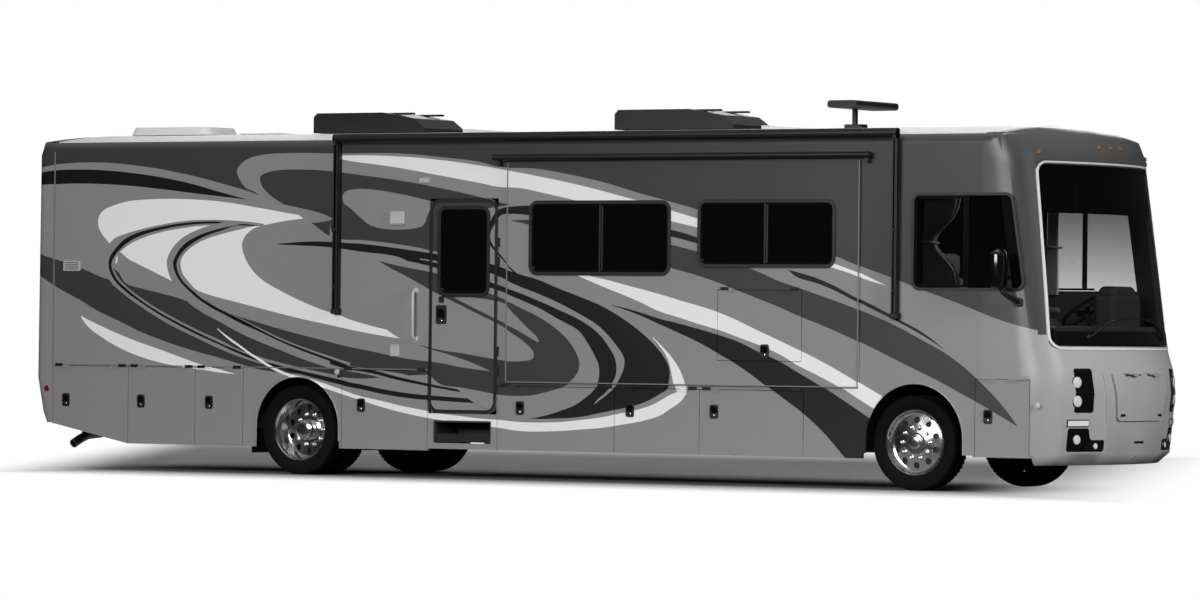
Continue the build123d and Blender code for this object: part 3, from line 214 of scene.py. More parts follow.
# Each row: name, colour, kind, upper points, lower points
livery = [
    ("dark_field", DARK, PLAIN,
     [(25, 120), (1130, 120)],
     [(25, 168.5), (36, 168), (60, 164), (100, 162.5), (140, 166), (180, 173), (220, 183), (259, 195),
      (300, 215), (360, 235), (480, 262), (600, 300), (800, 330), (960, 345), (1054, 342), (1130, 338)]),
    ("silver_field", SILVER, LEFT_NOSE,
     [(237, 171), (240, 165), (250, 158), (265, 154.5), (300, 153), (340, 153.5), (400, 153.5),
      (440, 157), (480, 162), (500, 167), (540, 169), (560, 172.5), (600, 181), (640, 193), (680, 204),
      (700, 210), (836, 256), (860, 266), (890, 277), (920, 289), (960, 304), (1000, 320), (1040, 332),
      (1054, 336), (1075, 343), (1130, 352)],
     [(237, 171), (240, 180), (245, 187), (259, 195), (300, 240), (360, 400), (420, 470), (700, 470),
      (1130, 470)]),
    ("black_tail", BLACK, PLAIN,
     [(25, 174), (36, 173), (60, 170), (80, 169.5), (100, 170), (140, 174), (180, 181), (220, 192),
      (247, 199.5)],
     [(25, 186), (36, 185), (60, 184), (80, 183.5), (120, 185), (160, 189), (200, 194), (247, 199.5)]),
    ("white_sweep", WHITE, LEFT_NOSE,
     [(98, 222), (104, 210), (115, 205), (130, 201), (150, 199.3), (180, 199), (220, 201.5), (260, 208),
      (290, 213.5), (312, 217.5), (340, 240), (400, 290), (440, 325), (470, 346)],
     [(98, 222), (102, 234), (108, 241.5)] + SWEEP_FOOT + SWEEP_MIDDLE + SWEEP_TIP),
    ("silver_in_sweep", SILVER, LEFT_NOSE, CENTRE_UPPER, CENTRE_LOWER),
    ("dark_tail_band", DARK, PLAIN,
     [(25, 250), (36, 253), (50, 257.5), (64, 262), (80, 268), (90, 272), (100, 276.5), (109, 279.5)]
     + BAND_FOOT + [(200, 304)] + BAND_MIDDLE + BAND_TIP,
     [(25, 265), (36, 273), (60, 289), (80, 300), (100, 312), (120, 321.5), (140, 331.5), (160, 339.5),
      (180, 346.5), (200, 352.5), (220, 358), (240, 364), (260, 369.5), (280, 372.5), (300, 374),
      (320, 374.5), (340, 377), (360, 378.5), (400, 376), (440, 374), (490, 371)]),
    ("ring_1_silver_out", SILVER, LEFT_NOSE,
     [(105.5, 262), (107, 250), (112, 240.5), (125, 234), (140, 229.5), (160, 225), (180, 221.5),
      (200, 220), (240, 221), (262, 223.5)],
     [(105.5, 262), (106.5, 271), (109, 279), (120, 291), (140, 306), (160, 319), (180, 330),
      (200, 339.5), (220, 349), (240, 357), (262, 364)]),
    ("ring_1_black", BLACK, LEFT_NOSE,
     [(108.5, 263), (109.5, 258), (115, 249), (125, 239), (140, 232), (160, 227), (180, 223.5),
      (200, 221.7), (220, 221.5), (240, 222.5), (262, 224.5), (300, 235), (340, 300)],
     [(108.5, 263), (110, 272), (115, 281), (125, 291), (140, 302), (160, 315), (180, 326), (200, 336),
      (220, 345), (235, 352), (260, 362), (280, 368.5), (300, 374), (320, 379.5), (340, 384.5)]),
    ("ring_1_silver_in", SILVER, LEFT_NOSE,
     [(111.5, 264), (112.5, 260), (118, 251.5), (128, 242.5), (140, 236), (160, 230), (180, 226),
      (200, 224), (215, 223.5), (255, 224.7), (300, 235), (340, 300)],
     [(111.5, 264), (113, 272), (118, 280.5), (128, 290), (140, 299.5), (160, 312.5), (180, 323.5),
      (200, 333.5), (220, 343), (245, 353.5), (260, 359.5), (280, 365.5), (300, 370.5), (320, 375),
      (340, 379.5)]),
    ("ring_1_white", WHITE, LEFT_NOSE,
     [(115.5, 262), (116.5, 257), (121, 251), (130, 244), (140, 239), (160, 232.5), (180, 228.5),
      (200, 226), (228, 225), (260, 226), (300, 240), (330, 325)],
     [(115.5, 262), (117, 262.5)] + SWEEP_FOOT + SWEEP_MIDDLE),
    ("ring_1_dark", DARK, PLAIN,
     [(113, 268), (118, 272)] + BAND_FOOT + [(187, 301), (210, 307)] + BAND_MIDDLE + [(340, 344)],
     [(113, 268), (118, 277), (123, 283), (140, 297), (160, 310), (180, 321), (200, 331), (220, 340),
      (240, 350), (260, 357), (280, 362.5), (300, 367.5), (340, 376)]),
    ("ring_2_silver_out", SILVER, LEFT_NOSE,
     [(166.8, 262), (168.5, 255), (174, 246), (183, 237.5), (195, 231), (212, 225), (240, 221),
      (300, 240), (340, 300)],
     [(166.8, 262), (168, 271), (172, 281), (180, 291), (187, 301), (200, 311), (220, 322), (240, 333),
      (260, 342), (280, 350), (300, 358), (320, 365), (340, 371)]),
    ("ring_2_black", BLACK, LEFT_NOSE,
     [(173, 263), (175, 257), (180, 248.5), (190, 240), (205, 233), (220, 228.5), (232, 226),
      (245, 224), (300, 240), (350, 300)],
     [(173, 263), (174.5, 271), (179, 280), (187, 289), (197, 298), (210, 307), (225, 315), (240, 323),
      (260, 332), (280, 341.5), (300, 350), (320, 357.5), (340, 365), (350, 369)]),
    ("ring_2_silver_in", SILVER, LEFT_NOSE,
     [(176.5, 264), (178, 259), (183, 251.5), (193, 243), (207, 235.5), (222, 230.5), (240, 225.5),
      (300, 240), (350, 300)],
     [(176.5, 264), (178, 272), (183, 281), (192, 290), (202, 298.5), (215, 306.5), (230, 314),
      (245, 321.5), (260, 329.5), (280, 339.5), (300, 347.5), (320, 355), (340, 362), (350, 366)]),
    ("ring_2_white", WHITE, LEFT_NOSE,
     [(180.5, 263), (184, 254.5), (193, 246), (205, 239.5), (222, 234), (238, 230), (262, 226),
      (300, 238), (340, 300), (400, 333), (440, 340), (470, 346)],
     [(180.5, 263), (182, 272), (188, 281), (197, 290)] + SWEEP_MIDDLE + SWEEP_TIP),
    ("silver_centre", SILVER, LEFT_NOSE, CENTRE_UPPER, CENTRE_LOWER),
    ("ring_2_dark", DARK, PLAIN,
     [(206, 300)] + BAND_MIDDLE + BAND_TIP,
     [(206, 301), (235, 315.5), (250, 323), (270, 333), (290, 342), (310, 349.5), (330, 356),
      (350, 362.5), (370, 366), (400, 370), (440, 371), (470, 371.5), (490, 371)]),
    ("tail_grey_1", SILVER, PLAIN,
     [(330, 361.5), (350, 366), (370, 369), (400, 373.5), (440, 384), (480, 391), (520, 396)],
     [(330, 367), (350, 371.5), (370, 375), (400, 384), (440, 394), (480, 397), (520, 398)]),
    ("tail_black_2", BLACK, PLAIN,
     [(330, 360), (350, 366.3), (370, 369.5), (400, 377.3), (440, 386), (480, 393), (508, 397)],
     [(330, 364), (350, 369.5), (370, 373), (400, 380.5), (440, 388.5), (480, 395.2), (508, 398)]),
    ("tail_grey_2", SILVER, PLAIN,
     [(300, 367), (320, 374), (340, 378), (360, 382), (380, 386), (400, 388.8), (440, 391), (470, 394)],
     [(300, 372), (320, 378), (340, 382), (360, 386), (380, 390), (400, 393), (440, 396), (470, 398)]),
    ("tail_black_1", BLACK, PLAIN,
     [(300, 370.5), (320, 375), (340, 379.6), (350, 382.3), (360, 384.2), (380, 388.6), (400, 392),
      (420, 394.6), (440, 396.2), (460, 397.8), (480, 398.8), (500, 399.5), (520, 398.8), (545, 399.5)],
     [(300, 374), (320, 379.5), (340, 384.5), (350, 387.2), (360, 389), (380, 393.5), (400, 397),
      (420, 399.4), (440, 400.8), (460, 402.2), (480, 403.2), (500, 403.6), (520, 401.8),
      (545, 400.2)]),
    ("dark_eye", DARK, LEFT_NOSE,
     [(260, 178), (266, 173), (280, 170), (300, 169.5), (330, 171), (360, 175), (400, 180.5),
      (440, 188), (480, 197), (500, 202.5), (512, 205)],
     [(260, 178), (262, 186), (270, 195), (284, 204.5), (300, 213), (311, 222.5), (320, 229.5),
      (330, 236), (343, 239.5), (360, 240), (380, 242), (400, 244.5), (420, 248), (440, 251.5),
      (460, 245), (475, 225), (487, 209), (512, 205)]),
    ("silver_wedge", SILVER, PLAIN,
     [(284, 204.5), (300, 208), (320, 213), (333, 219)],
     [(284, 204.5), (300, 216), (311, 222.5), (322, 222), (333, 219)]),
    ("silver_leaf", SILVER, LEFT_NOSE,
     [(342.5, 198), (344, 193), (352, 189.5), (365, 189), (380, 190.5), (400, 194), (420, 198.5),
      (434, 202)],
     [(342.5, 198), (344, 203), (350, 208), (360, 217), (375, 227), (400, 229.5), (420, 227),
      (428, 214), (434, 202)]),
    ("hook_black", BLACK, LEFT_NOSE,
     [(487, 236), (490, 222), (500, 209), (515, 206.5), (535, 206), (600, 217), (669, 229), (700, 238),
      (766, 264), (800, 272.5), (820, 279), (860, 299), (880, 309), (900, 320), (920, 331), (945, 350)],
     [(487, 236), (490, 245), (500, 257), (510, 268), (520, 277), (528, 285), (560, 300), (600, 225.5),
      (669, 236), (700, 244), (781, 265), (800, 278), (820, 284), (860, 303), (880, 313), (900, 323),
      (920, 334), (945, 350)]),
    ("hook_silver", SILVER, LEFT_NOSE,
     [(490, 236), (493, 227), (500, 216), (515, 214), (535, 216), (560, 220), (590, 225)],
     [(490, 236), (493, 245), (500, 254), (508, 264), (520, 275), (528, 285), (560, 310), (590, 330)]),
    ("white_shoulder", WHITE, PLAIN,
     [(335, 156), (343, 155.5), (400, 156.5), (440, 160), (480, 165.5), (500, 169), (520, 172.5),
      (540, 176.5), (560, 180.5), (600, 190), (620, 195.5), (644, 202), (669, 209.5), (700, 219),
      (766, 240), (832, 262.5), (860, 273), (880, 282.5), (886, 285.5)],
     [(335, 156.5), (343, 159.5), (380, 165), (400, 168), (440, 175.5), (480, 183), (500, 187),
      (520, 188), (540, 192), (560, 196.5), (580, 201), (594, 203), (632, 212), (669, 220.5),
      (700, 228), (766, 247), (826, 265.5), (850, 273), (870, 281), (886, 285.5)]),
    ("dark_long", DARK, PLAIN,
     [(513, 220.5), (535, 220), (600, 231), (669, 244), (700, 252), (741, 265), (760, 272), (780, 281),
      (800, 288), (820, 295), (860, 310), (900, 328), (920, 339), (940, 350), (960, 364), (980, 382),
      (1000, 403), (1018, 427)],
     [(513, 221), (535, 226), (600, 245), (669, 267), (700, 276), (720, 283), (740, 291), (760, 299),
      (780, 307), (800, 316), (820, 324), (860, 342), (900, 362), (940, 382), (960, 393), (985, 407),
      (1000, 416), (1018, 427)]),
    ("white_wheel", WHITE, PLAIN,
     [(566, 271.5), (575, 273), (600, 278), (640, 288.5), (660, 294), (680, 300), (720, 312.5),
      (760, 331), (800, 350), (820, 360), (860, 383), (882, 396)],
     [(566, 272), (575, 274.5), (600, 285), (640, 301.5), (660, 311), (680, 317.5), (700, 324),
      (720, 330), (740, 337.5), (760, 345), (780, 354), (800, 366), (820, 376), (840, 387),
      (860, 400), (882, 414)]),
    ("black_wheel", BLACK, PLAIN,
     [(612, 304.5), (640, 312), (660, 318.5), (680, 323.5), (700, 329), (720, 335), (740, 342),
      (760, 352), (780, 361), (800, 373), (820, 385), (840, 398), (872, 420)],
     [(612, 305), (640, 315), (660, 324), (680, 333), (700, 342.5), (720, 354), (740, 366),
      (760, 380.5), (780, 396), (800, 411), (820, 429), (830, 440), (840, 452), (872, 490)]),
    ("loop_black", BLACK, RIGHT_NOSE,
     [(277, 244), (300, 242), (320, 241.5), (340, 242.5), (360, 243.5), (400, 248.5), (440, 254.5),
      (487, 263), (520, 274), (540, 280), (560, 288.5), (580, 296.3), (600, 304.6), (620, 316),
      (640, 330.5), (652, 341), (660, 350), (668, 362), (671, 373)],
     [(277, 244.5), (300, 245.5), (320, 246.5), (340, 248.5), (360, 251.5), (400, 257.5), (420, 280),
      (440, 340), (470, 400), (500, 414), (527, 418.3), (560, 418.5), (580, 417), (600, 413),
      (620, 409), (640, 404), (660, 394), (668, 388), (671, 373)]),
    ("loop_silver_2", SILVER, RIGHT_NOSE,
     [(420, 258.5), (440, 261.5), (487, 272), (500, 277), (520, 286.2), (540, 294), (560, 303),
      (580, 313.6), (600, 326.2), (610, 336), (618, 346), (624, 355), (625.8, 361)],
     [(420, 262), (440, 330), (470, 390), (500, 408), (527, 415), (560, 412.5), (580, 409),
      (592, 405.5), (600, 400), (610, 392), (618, 383), (622, 376), (625, 368), (625.8, 361)]),
    ("loop_black_2", BLACK, RIGHT_NOSE,
     [(420, 259.5), (440, 264), (487, 281), (500, 285.5), (520, 292.7), (540, 301), (560, 309.8),
      (580, 319.4), (600, 333.8), (610, 347), (616, 358), (617.7, 369)],
     [(420, 262), (440, 330), (470, 390), (500, 410), (527, 417), (560, 415), (580, 411),
      (592, 406), (597, 400), (605, 393), (612, 385), (617, 375), (617.7, 369)]),
    ("loop_silver_1", SILVER, RIGHT_NOSE,
     [(370, 258), (400, 260), (440, 269), (487, 286.5), (500, 291), (520, 299.2), (540, 308),
      (560, 319.4), (580, 331), (590, 345), (597, 358), (600, 366), (600.5, 374)],
     [(370, 259), (400, 290), (440, 360), (470, 400), (500, 414), (527, 418.3), (545, 415.5),
      (560, 411), (575, 405), (585, 398), (594, 390), (599, 382), (600.5, 374)]),
    ("loop_dark", DARK, RIGHT_NOSE,
     [(370, 259), (400, 266), (440, 274.5), (487, 292.5), (500, 297.5), (520, 306.9), (540, 317),
      (560, 331), (570, 341), (577, 352), (580.6, 364.6)],
     [(370, 260), (400, 310), (420, 345), (440, 384), (460, 387.5), (480, 391), (500, 395),
      (518, 396), (530, 395.5), (550, 391), (565, 386), (574, 379), (579, 372), (580.6, 364.6)]),
    ("leaf_silver", SILVER, RIGHT_NOSE,
     [(370, 259), (400, 273), (420, 284), (440, 295), (460, 305), (480, 315), (500, 325), (520, 338),
      (530, 346), (534, 351), (535, 355)],
     [(370, 300), (400, 338.5), (412, 342.5), (430, 347.5), (440, 350), (460, 353), (480, 356.5),
      (500, 360), (515, 361.5), (525, 361), (533, 359), (535, 355)]),
    ("leaf_wedge", SILVER, PLAIN,
     [(400, 340), (420, 345.5), (430, 349), (450, 355), (470, 362), (490, 371)],
     [(400, 357.5), (410, 359), (420, 360.5), (440, 363), (460, 367), (490, 371)]),
    ("leaf_tip", SILVER, RIGHT_NOSE,
     [(452, 295), (470, 297), (490, 300), (503, 303), (515, 314), (530, 329), (538, 337), (540, 342)],
     [(452, 296.5), (470, 306), (480, 311), (500, 321), (520, 331), (530, 337), (537, 341),
      (540, 342)]),
    ("left_rest", SILVER, PLAIN,
     [(330, 220), (343, 241), (360, 241), (380, 243), (400, 246), (420, 250), (440, 254)],
     [(330, 240), (343, 242.6), (360, 243.6), (380, 245.9), (400, 248.6), (420, 251.5), (440, 254.6)]),
    ("silver_mid", SILVER, PLAIN,
     [(300, 246.5), (320, 247), (340, 249), (360, 252), (380, 262), (400, 274), (420, 285),
      (440, 296)],
     [(300, 290), (320, 300), (340, 308), (360, 314), (380, 321), (400, 333), (420, 337), (440, 341)]),
    ("white_crescent", WHITE, RIGHT_NOSE,
     [(217, 328), (230, 338), (240, 345), (250, 352.5), (260, 358.5), (270, 365), (280, 370),
      (290, 374), (300, 376.5), (320, 382), (340, 389), (360, 396), (380, 400.5), (400, 405.5),
      (420, 409.5), (440, 413.5), (460, 416), (480, 418.5), (500, 420), (520, 422), (540, 422.5),
      (560, 422), (580, 420), (600, 417.5), (620, 413.5), (640, 409), (654, 404), (662, 399.5),
      (670, 395), (680, 391), (686.5, 388)],
     [(217, 328.5), (230, 340.5), (240, 347.5), (250, 355), (260, 361.5), (270, 368), (280, 373),
      (290, 377), (300, 380), (320, 386.5), (340, 393.5), (360, 400), (380, 406.5), (400, 412),
      (420, 416.5), (440, 420), (460, 422.5), (480, 425), (500, 428), (520, 431), (540, 431.5),
      (560, 431), (580, 429.5), (600, 428), (620, 425), (640, 421.5), (660, 415.5), (670, 409),
      (682, 400), (686.5, 388)]),
    ("white_crescent_tip", WHITE, RIGHT_NOSE,
     [(654, 337), (662, 345), (672, 356), (680, 368), (685, 380), (686.5, 388)],
     [(654, 338), (660, 345), (668, 357), (672, 370), (673.5, 378), (678, 393), (686.5, 392)]),
    ("white_low_tail", WHITE, PLAIN,
     [(81, 316), (100, 325.5), (120, 334.5), (140, 342.5), (160, 349.5), (180, 357), (200, 364),
      (220, 369.5), (234, 373.5)],
     [(81, 317), (90, 328.5), (100, 336), (120, 348), (140, 356.5), (160, 362.5), (180, 366.5),
      (200, 369.5), (220, 372.5), (234, 374)]),
]


def livery_group():
    """Node group: object coordinates in, body colour out."""
    group = bpy.data.node_groups.new("livery", "ShaderNodeTree")
    group.interface.new_socket("Color", in_out="OUTPUT", socket_type="NodeSocketColor")
    t = Tree(group)
    end = t.node("NodeGroupOutput")
    _, x, _, z = t.coords()
    colour = SILVER
    for _, paint, kind, upper, lower in livery:
        top = [wall_point(p) for p in upper]
        bottom = [wall_point(p) for p in lower]
        x0 = min(top[0][0], bottom[0][0])
        x1 = max(top[-1][0], bottom[-1][0])
        heights = [p[1] for p in top + bottom]
        z0 = min(heights) - 0.01
        z1 = max(heights) + 0.01

        def share(px, x0=x0, x1=x1, kind=kind):
            s = min(1.0, max(0.0, (px - x0) / (x1 - x0)))
            if kind == LEFT_NOSE:
                return math.sqrt(s)
            if kind == RIGHT_NOSE:
                return 1.0 - math.sqrt(1.0 - s)
            return s

        run = t.math("DIVIDE", t.math("SUBTRACT", x, x0), x1 - x0)
        inside = t.math("MULTIPLY", t.math("GREATER_THAN", run, 0.0), t.math("LESS_THAN", run, 1.0))
        run = t.math("MAXIMUM", t.math("MINIMUM", run, 1.0), 0.0)
        if kind == LEFT_NOSE:
            run = t.math("SQRT", run)
        elif kind == RIGHT_NOSE:
            run = t.math("SUBTRACT", 1.0, t.math("SQRT", t.math("SUBTRACT", 1.0, run)))
        span = z1 - z0
        rise = t.math("DIVIDE", t.math("SUBTRACT", z, z0), span)
        under = t.math("LESS_THAN", rise, t.curve(run, [(share(px), (pz - z0) / span) for px, pz in top]))
        over = t.math("GREATER_THAN", rise,
                      t.curve(run, [(share(px), (pz - z0) / span) for px, pz in bottom]))
        mask = t.math("MULTIPLY", inside, t.math("MULTIPLY", under, over))
        colour = t.mix(mask, colour, paint)
    t.link(colour, end.inputs[0])
    return group


LIVERY = livery_group()
materials = {}


def material(name, colour, rough=0.5, metal=0.0, coat=0.0, bump=0.0, scale=60.0, fleck=0.0,
             dirt=0.0, spec=0.5):
    """A plain procedural finish: base colour, fine noise, bump and a little dust low down."""
    m = bpy.data.materials.new(name)
    m.use_nodes = True
    t = Tree(m.node_tree)
    shader = m.node_tree.nodes["Principled BSDF"]
    place, _, _, z = t.coords()
    shader.inputs["Roughness"].default_value = rough
    shader.inputs["Metallic"].default_value = metal
    shader.inputs["Specular IOR Level"].default_value = spec
    if coat:
        shader.inputs["Coat Weight"].default_value = coat
        shader.inputs["Coat Roughness"].default_value = 0.06
    noise = t.node("ShaderNodeTexNoise")
    t.link(place, noise.inputs["Vector"])
    noise.inputs["Scale"].default_value = scale
    noise.inputs["Detail"].default_value = 4.0
    base = colour
    if fleck:
        darker = tuple(c * 0.5 for c in colour[:3]) + (1.0,)
        base = t.mix(t.math("MULTIPLY", noise.outputs[0], 2.0 * fleck, clamp=True), colour, darker)
    if dirt:
        low = t.math("MULTIPLY_ADD", z, -1.6, 1.25, clamp=True)
        big = t.node("ShaderNodeTexNoise")
        t.link(place, big.inputs["Vector"])
        big.inputs["Scale"].default_value = 3.0
        big.inputs["Detail"].default_value = 5.0
        share = t.math("MULTIPLY", t.math("MULTIPLY", low, big.outputs[0]), dirt)
        base = t.mix(share, base, DUST)
    t.put(shader.inputs["Base Color"], base)
    if bump:
        b = t.node("ShaderNodeBump")
        b.inputs["Strength"].default_value = bump
        b.inputs["Distance"].default_value = 0.002
        t.link(noise.outputs[0], b.inputs["Height"])
        t.link(b.outputs[0], shader.inputs["Normal"])
    materials[name] = m
    return m


def paint_material(name, front=False, rear=False):
    """Body paint with the livery, a clear coat and metal flake."""
    m = bpy.data.materials.new(name)
    m.use_nodes = True
    t = Tree(m.node_tree)
    shader = m.node_tree.nodes["Principled BSDF"]
    place, x, y, z = t.coords()
    group = t.node("ShaderNodeGroup")
    group.node_tree = LIVERY
    colour = group.outputs[0]
    if front:
        ahead = t.math("GREATER_THAN", x, FRONT_PAINT_X)
        high = t.math("GREATER_THAN", z, FRONT_SPLIT_Z)
        face = t.mix(high, SILVER, DARK)
        colour = t.mix(ahead, colour, face)
    if rear:
        behind = t.math("LESS_THAN", x, REAR_PAINT_X)
        edge = t.math("LESS_THAN", t.math("ABSOLUTE", y), REAR_PAINT_Y)
        colour = t.mix(t.math("MULTIPLY", behind, edge), colour, SILVER)
    flake = t.node("ShaderNodeTexNoise")
    t.link(place, flake.inputs["Vector"])
    flake.inputs["Scale"].default_value = 900.0
    flake.inputs["Detail"].default_value = 2.0
    tint = t.math("MULTIPLY_ADD", flake.outputs[0], 0.10, 0.95)
    mult = t.node("ShaderNodeMix", data_type="RGBA", blend_type="MULTIPLY")
    mult.inputs[0].default_value = 1.0
    t.put(mult.inputs[6], colour)
    shade = t.node("ShaderNodeCombineColor")
    for k in range(3):
        t.link(tint, shade.inputs[k])
    t.link(shade.outputs[0], mult.inputs[7])
    low = t.math("MULTIPLY_ADD", z, -1.2, 1.1, clamp=True)
    dust = t.node("ShaderNodeTexNoise")
    t.link(place, dust.inputs["Vector"])
    dust.inputs["Scale"].default_value = 2.2
    dust.inputs["Detail"].default_value = 6.0
    film = t.math("MULTIPLY", t.math("MULTIPLY", low, dust.outputs[0]), 0.10)
    t.put(shader.inputs["Base Color"], t.mix(film, mult.outputs[2], FILM))
    shader.inputs["Roughness"].default_value = 0.34
    shader.inputs["Metallic"].default_value = 0.0
    shader.inputs["Specular IOR Level"].default_value = 0.4
    shader.inputs["Coat Weight"].default_value = 0.22 if front or rear else 0.5
    shader.inputs["Coat Roughness"].default_value = 0.32 if front or rear else 0.06
    wave = t.node("ShaderNodeTexNoise")
    t.link(place, wave.inputs["Vector"])
    wave.inputs["Scale"].default_value = 5.0
    b = t.node("ShaderNodeBump")
    b.inputs["Strength"].default_value = 0.04
    b.inputs["Distance"].default_value = 0.01
    t.link(wave.outputs[0], b.inputs["Height"])
    t.link(b.outputs[0], shader.inputs["Normal"])
    materials[name] = m
    return m


FRONT_PAINT_X = 5.36
FRONT_SPLIT_Z = 1.417
REAR_PAINT_X = -5.74
REAR_PAINT_Y = 1.20

paint_material("body_paint")
paint_material("front_paint", front=True)
paint_material("rear_paint", rear=True)
material("black_trim", grey(13), rough=0.42, bump=0.15, scale=240.0, dirt=0.15)
material("gloss_black", grey(8), rough=0.12, coat=0.5, bump=0.02, scale=12.0)
material("roof_white", grey(196), rough=0.55, bump=0.3, scale=90.0, fleck=0.15)
material("dark_glass", grey(5), rough=0.04, spec=0.55, coat=0.4, bump=0.006, scale=3.0)
material("tyre_rubber", grey(9), rough=0.8, bump=0.35, scale=180.0, dirt=0.04, spec=0.12)
material("polished_alloy", grey(214), rough=0.16, metal=1.0, bump=0.05, scale=40.0, fleck=0.1)
material("chrome", grey(226), rough=0.07, metal=1.0, bump=0.02, scale=30.0)
material("chassis_black", grey(20), rough=0.55, bump=0.4, scale=70.0, dirt=0.6)
material("cast_dark", grey(34), rough=0.6, metal=0.4, bump=0.5, scale=120.0, dirt=0.5)
material("galvanised", grey(140), rough=0.4, metal=0.8, bump=0.3, scale=30.0, fleck=0.3)
material("tub_plastic", grey(46), rough=0.6, bump=0.25, scale=200.0, dirt=0.3)
material("floor_vinyl", grey(96), rough=0.45, bump=0.25, scale=40.0, fleck=0.35)
material("inner_wall", grey(58), rough=0.7, bump=0.2, scale=120.0)
material("dash_plastic", grey(44), rough=0.55, bump=0.4, scale=420.0)
material("seat_leather", grey(104), rough=0.5, bump=0.5, scale=260.0, fleck=0.12)
material("curtain_cloth", grey(150), rough=0.9, bump=0.5, scale=500.0, fleck=0.2)
material("rubber", grey(16), rough=0.8, bump=0.4, scale=260.0)
material("pale_plastic", grey(176), rough=0.4, bump=0.08, scale=160.0)
material("red_lens", (0.18, 0.006, 0.005, 1.0), rough=0.1, coat=0.6, bump=0.5, scale=26.0)
material("amber_lens", (0.16, 0.06, 0.012, 1.0), rough=0.12, coat=0.6, bump=0.4, scale=60.0)
material("flat_black", grey(4), rough=0.8, bump=0.1, scale=120.0, spec=0.1)
material("grille_grey", grey(112), rough=0.5, bump=0.1, scale=120.0)
material("lamp_white", grey(176), rough=0.10, coat=0.8, bump=0.35, scale=60.0)
material("lamp_ribbed", grey(190), rough=0.12, coat=0.8, bump=0.9, scale=110.0)
material("white_membrane", grey(206), rough=0.6, bump=0.3, scale=60.0, fleck=0.1)


GLASS_IOR = 1.5
GLASS_GLOSS = 0.8
GLASS_LEAST_GLOSS = 0.024


def clear_material(name, tint, fade=None):
    """Thin window glass: mostly see-through with a gloss. fade gives a low z, a high z and the tint there."""
    m = bpy.data.materials.new(name)
    m.use_nodes = True
    t = Tree(m.node_tree)
    m.node_tree.nodes.remove(m.node_tree.nodes["Principled BSDF"])
    out = m.node_tree.nodes["Material Output"]
    clear = t.node("ShaderNodeBsdfTransparent")
    clear.inputs[0].default_value = (tint, tint, tint * 1.01, 1.0)
    # fade: tint that changes with height, used as painted shade on the far cab window
    if fade:
        _, _, _, z = t.coords()
        low_z, high_z, high_tint = fade
        share_up = t.math("DIVIDE", t.math("SUBTRACT", z, low_z), high_z - low_z, clamp=True)
        shade = t.math("MULTIPLY_ADD", share_up, high_tint - tint, tint)
        grey_mix = t.node("ShaderNodeCombineColor")
        for k in range(3):
            t.link(shade, grey_mix.inputs[k])
        t.link(grey_mix.outputs[0], clear.inputs[0])
    gloss = t.node("ShaderNodeBsdfGlossy")
    gloss.inputs["Roughness"].default_value = 0.0
    fresnel = t.node("ShaderNodeFresnel")
    fresnel.inputs[0].default_value = GLASS_IOR
    facing = t.node("ShaderNodeNewGeometry")
    front = t.math("SUBTRACT", 1.0, facing.outputs["Backfacing"])
    mirror = t.math("MULTIPLY_ADD", fresnel.outputs[0], GLASS_GLOSS, GLASS_LEAST_GLOSS, clamp=True)
    share = t.math("MULTIPLY", mirror, front)
    mix = t.node("ShaderNodeMixShader")
    t.link(share, mix.inputs[0])
    t.link(clear.outputs[0], mix.inputs[1])
    t.link(gloss.outputs[0], mix.inputs[2])
    t.link(mix.outputs[0], out.inputs[0])
    materials[name] = m
    return m


clear_material("clear_glass", 0.86)
clear_material("tinted_glass", 0.46)
# far_glass darkens the view through the far cab window towards the top: painted shade
clear_material("far_glass", 0.84, fade=(1.85, 2.55, 0.42))


def dress(node, name):
    o = nodes[node]
    o.data.materials.clear()
    o.data.materials.append(materials[name])


def dress_by(node, names, pick):
    """Several finishes on one CAD node, chosen for each face by its middle and normal."""
    o = nodes[node]
    o.data.materials.clear()
    for name in names:
        o.data.materials.append(materials[name])
    for p in o.data.polygons:
        p.material_index = pick(p.center, p.normal)


PLAIN_FINISHES = {
    "body_paint": ["lower_panels", "outer_cupboard_door"] + [f"locker_right_{k}" for k in range(1, 9)]
                  + [f"locker_left_{k}" for k in range(1, 4)],
    "front_paint": ["hood"],
    "rear_paint": ["rear_cap"],
    "clear_glass": ["windshield"],
    "dark_glass": ["room_bay_right_glass", "room_bay_left_glass", "entry_door_glass"],
    "black_trim": ["cab_window_frames", "door_mirrors", "patio_awning", "roof_air_units", "entry_step"],
    "gloss_black": ["head_lamps"],
    "red_lens": ["tail_lamps"],
    "tyre_rubber": ["front_tyre_right", "front_tyre_left", "rear_tyres_right", "rear_tyres_left"],
    "polished_alloy": ["front_wheel_right", "front_wheel_left", "rear_wheels_right", "rear_wheels_left"],
    "chassis_black": ["chassis_frame", "hitch_receiver", "fuel_tank"],
    "cast_dark": ["engine_block", "front_axle", "rear_axle", "drive_shaft", "steering_knuckle_right",
                  "steering_knuckle_left"],
    "galvanised": ["exhaust_pipe"],
    "floor_vinyl": ["floor_deck"],
    "tub_plastic": ["storage_compartments"],
    "dash_plastic": ["dashboard"],
    "rubber": ["steering_wheel", "mud_flaps"],
    "seat_leather": ["cab_seats"],
    "curtain_cloth": ["cab_curtains"],
}
for finish, names in PLAIN_FINISHES.items():
    for node in names:
        dress(node, finish)


def dress_skin(node, skin_y):
    """Paint outside, lining inside and black on what stands proud of the skin."""
    def pick(c, n):
        if abs(c.y) > skin_y + FACE_SLACK:
            return 2
        return 1 if abs(c.y) < INNER_WALL_Y else 0
    dress_by(node, ("body_paint", "inner_wall", "black_trim"), pick)


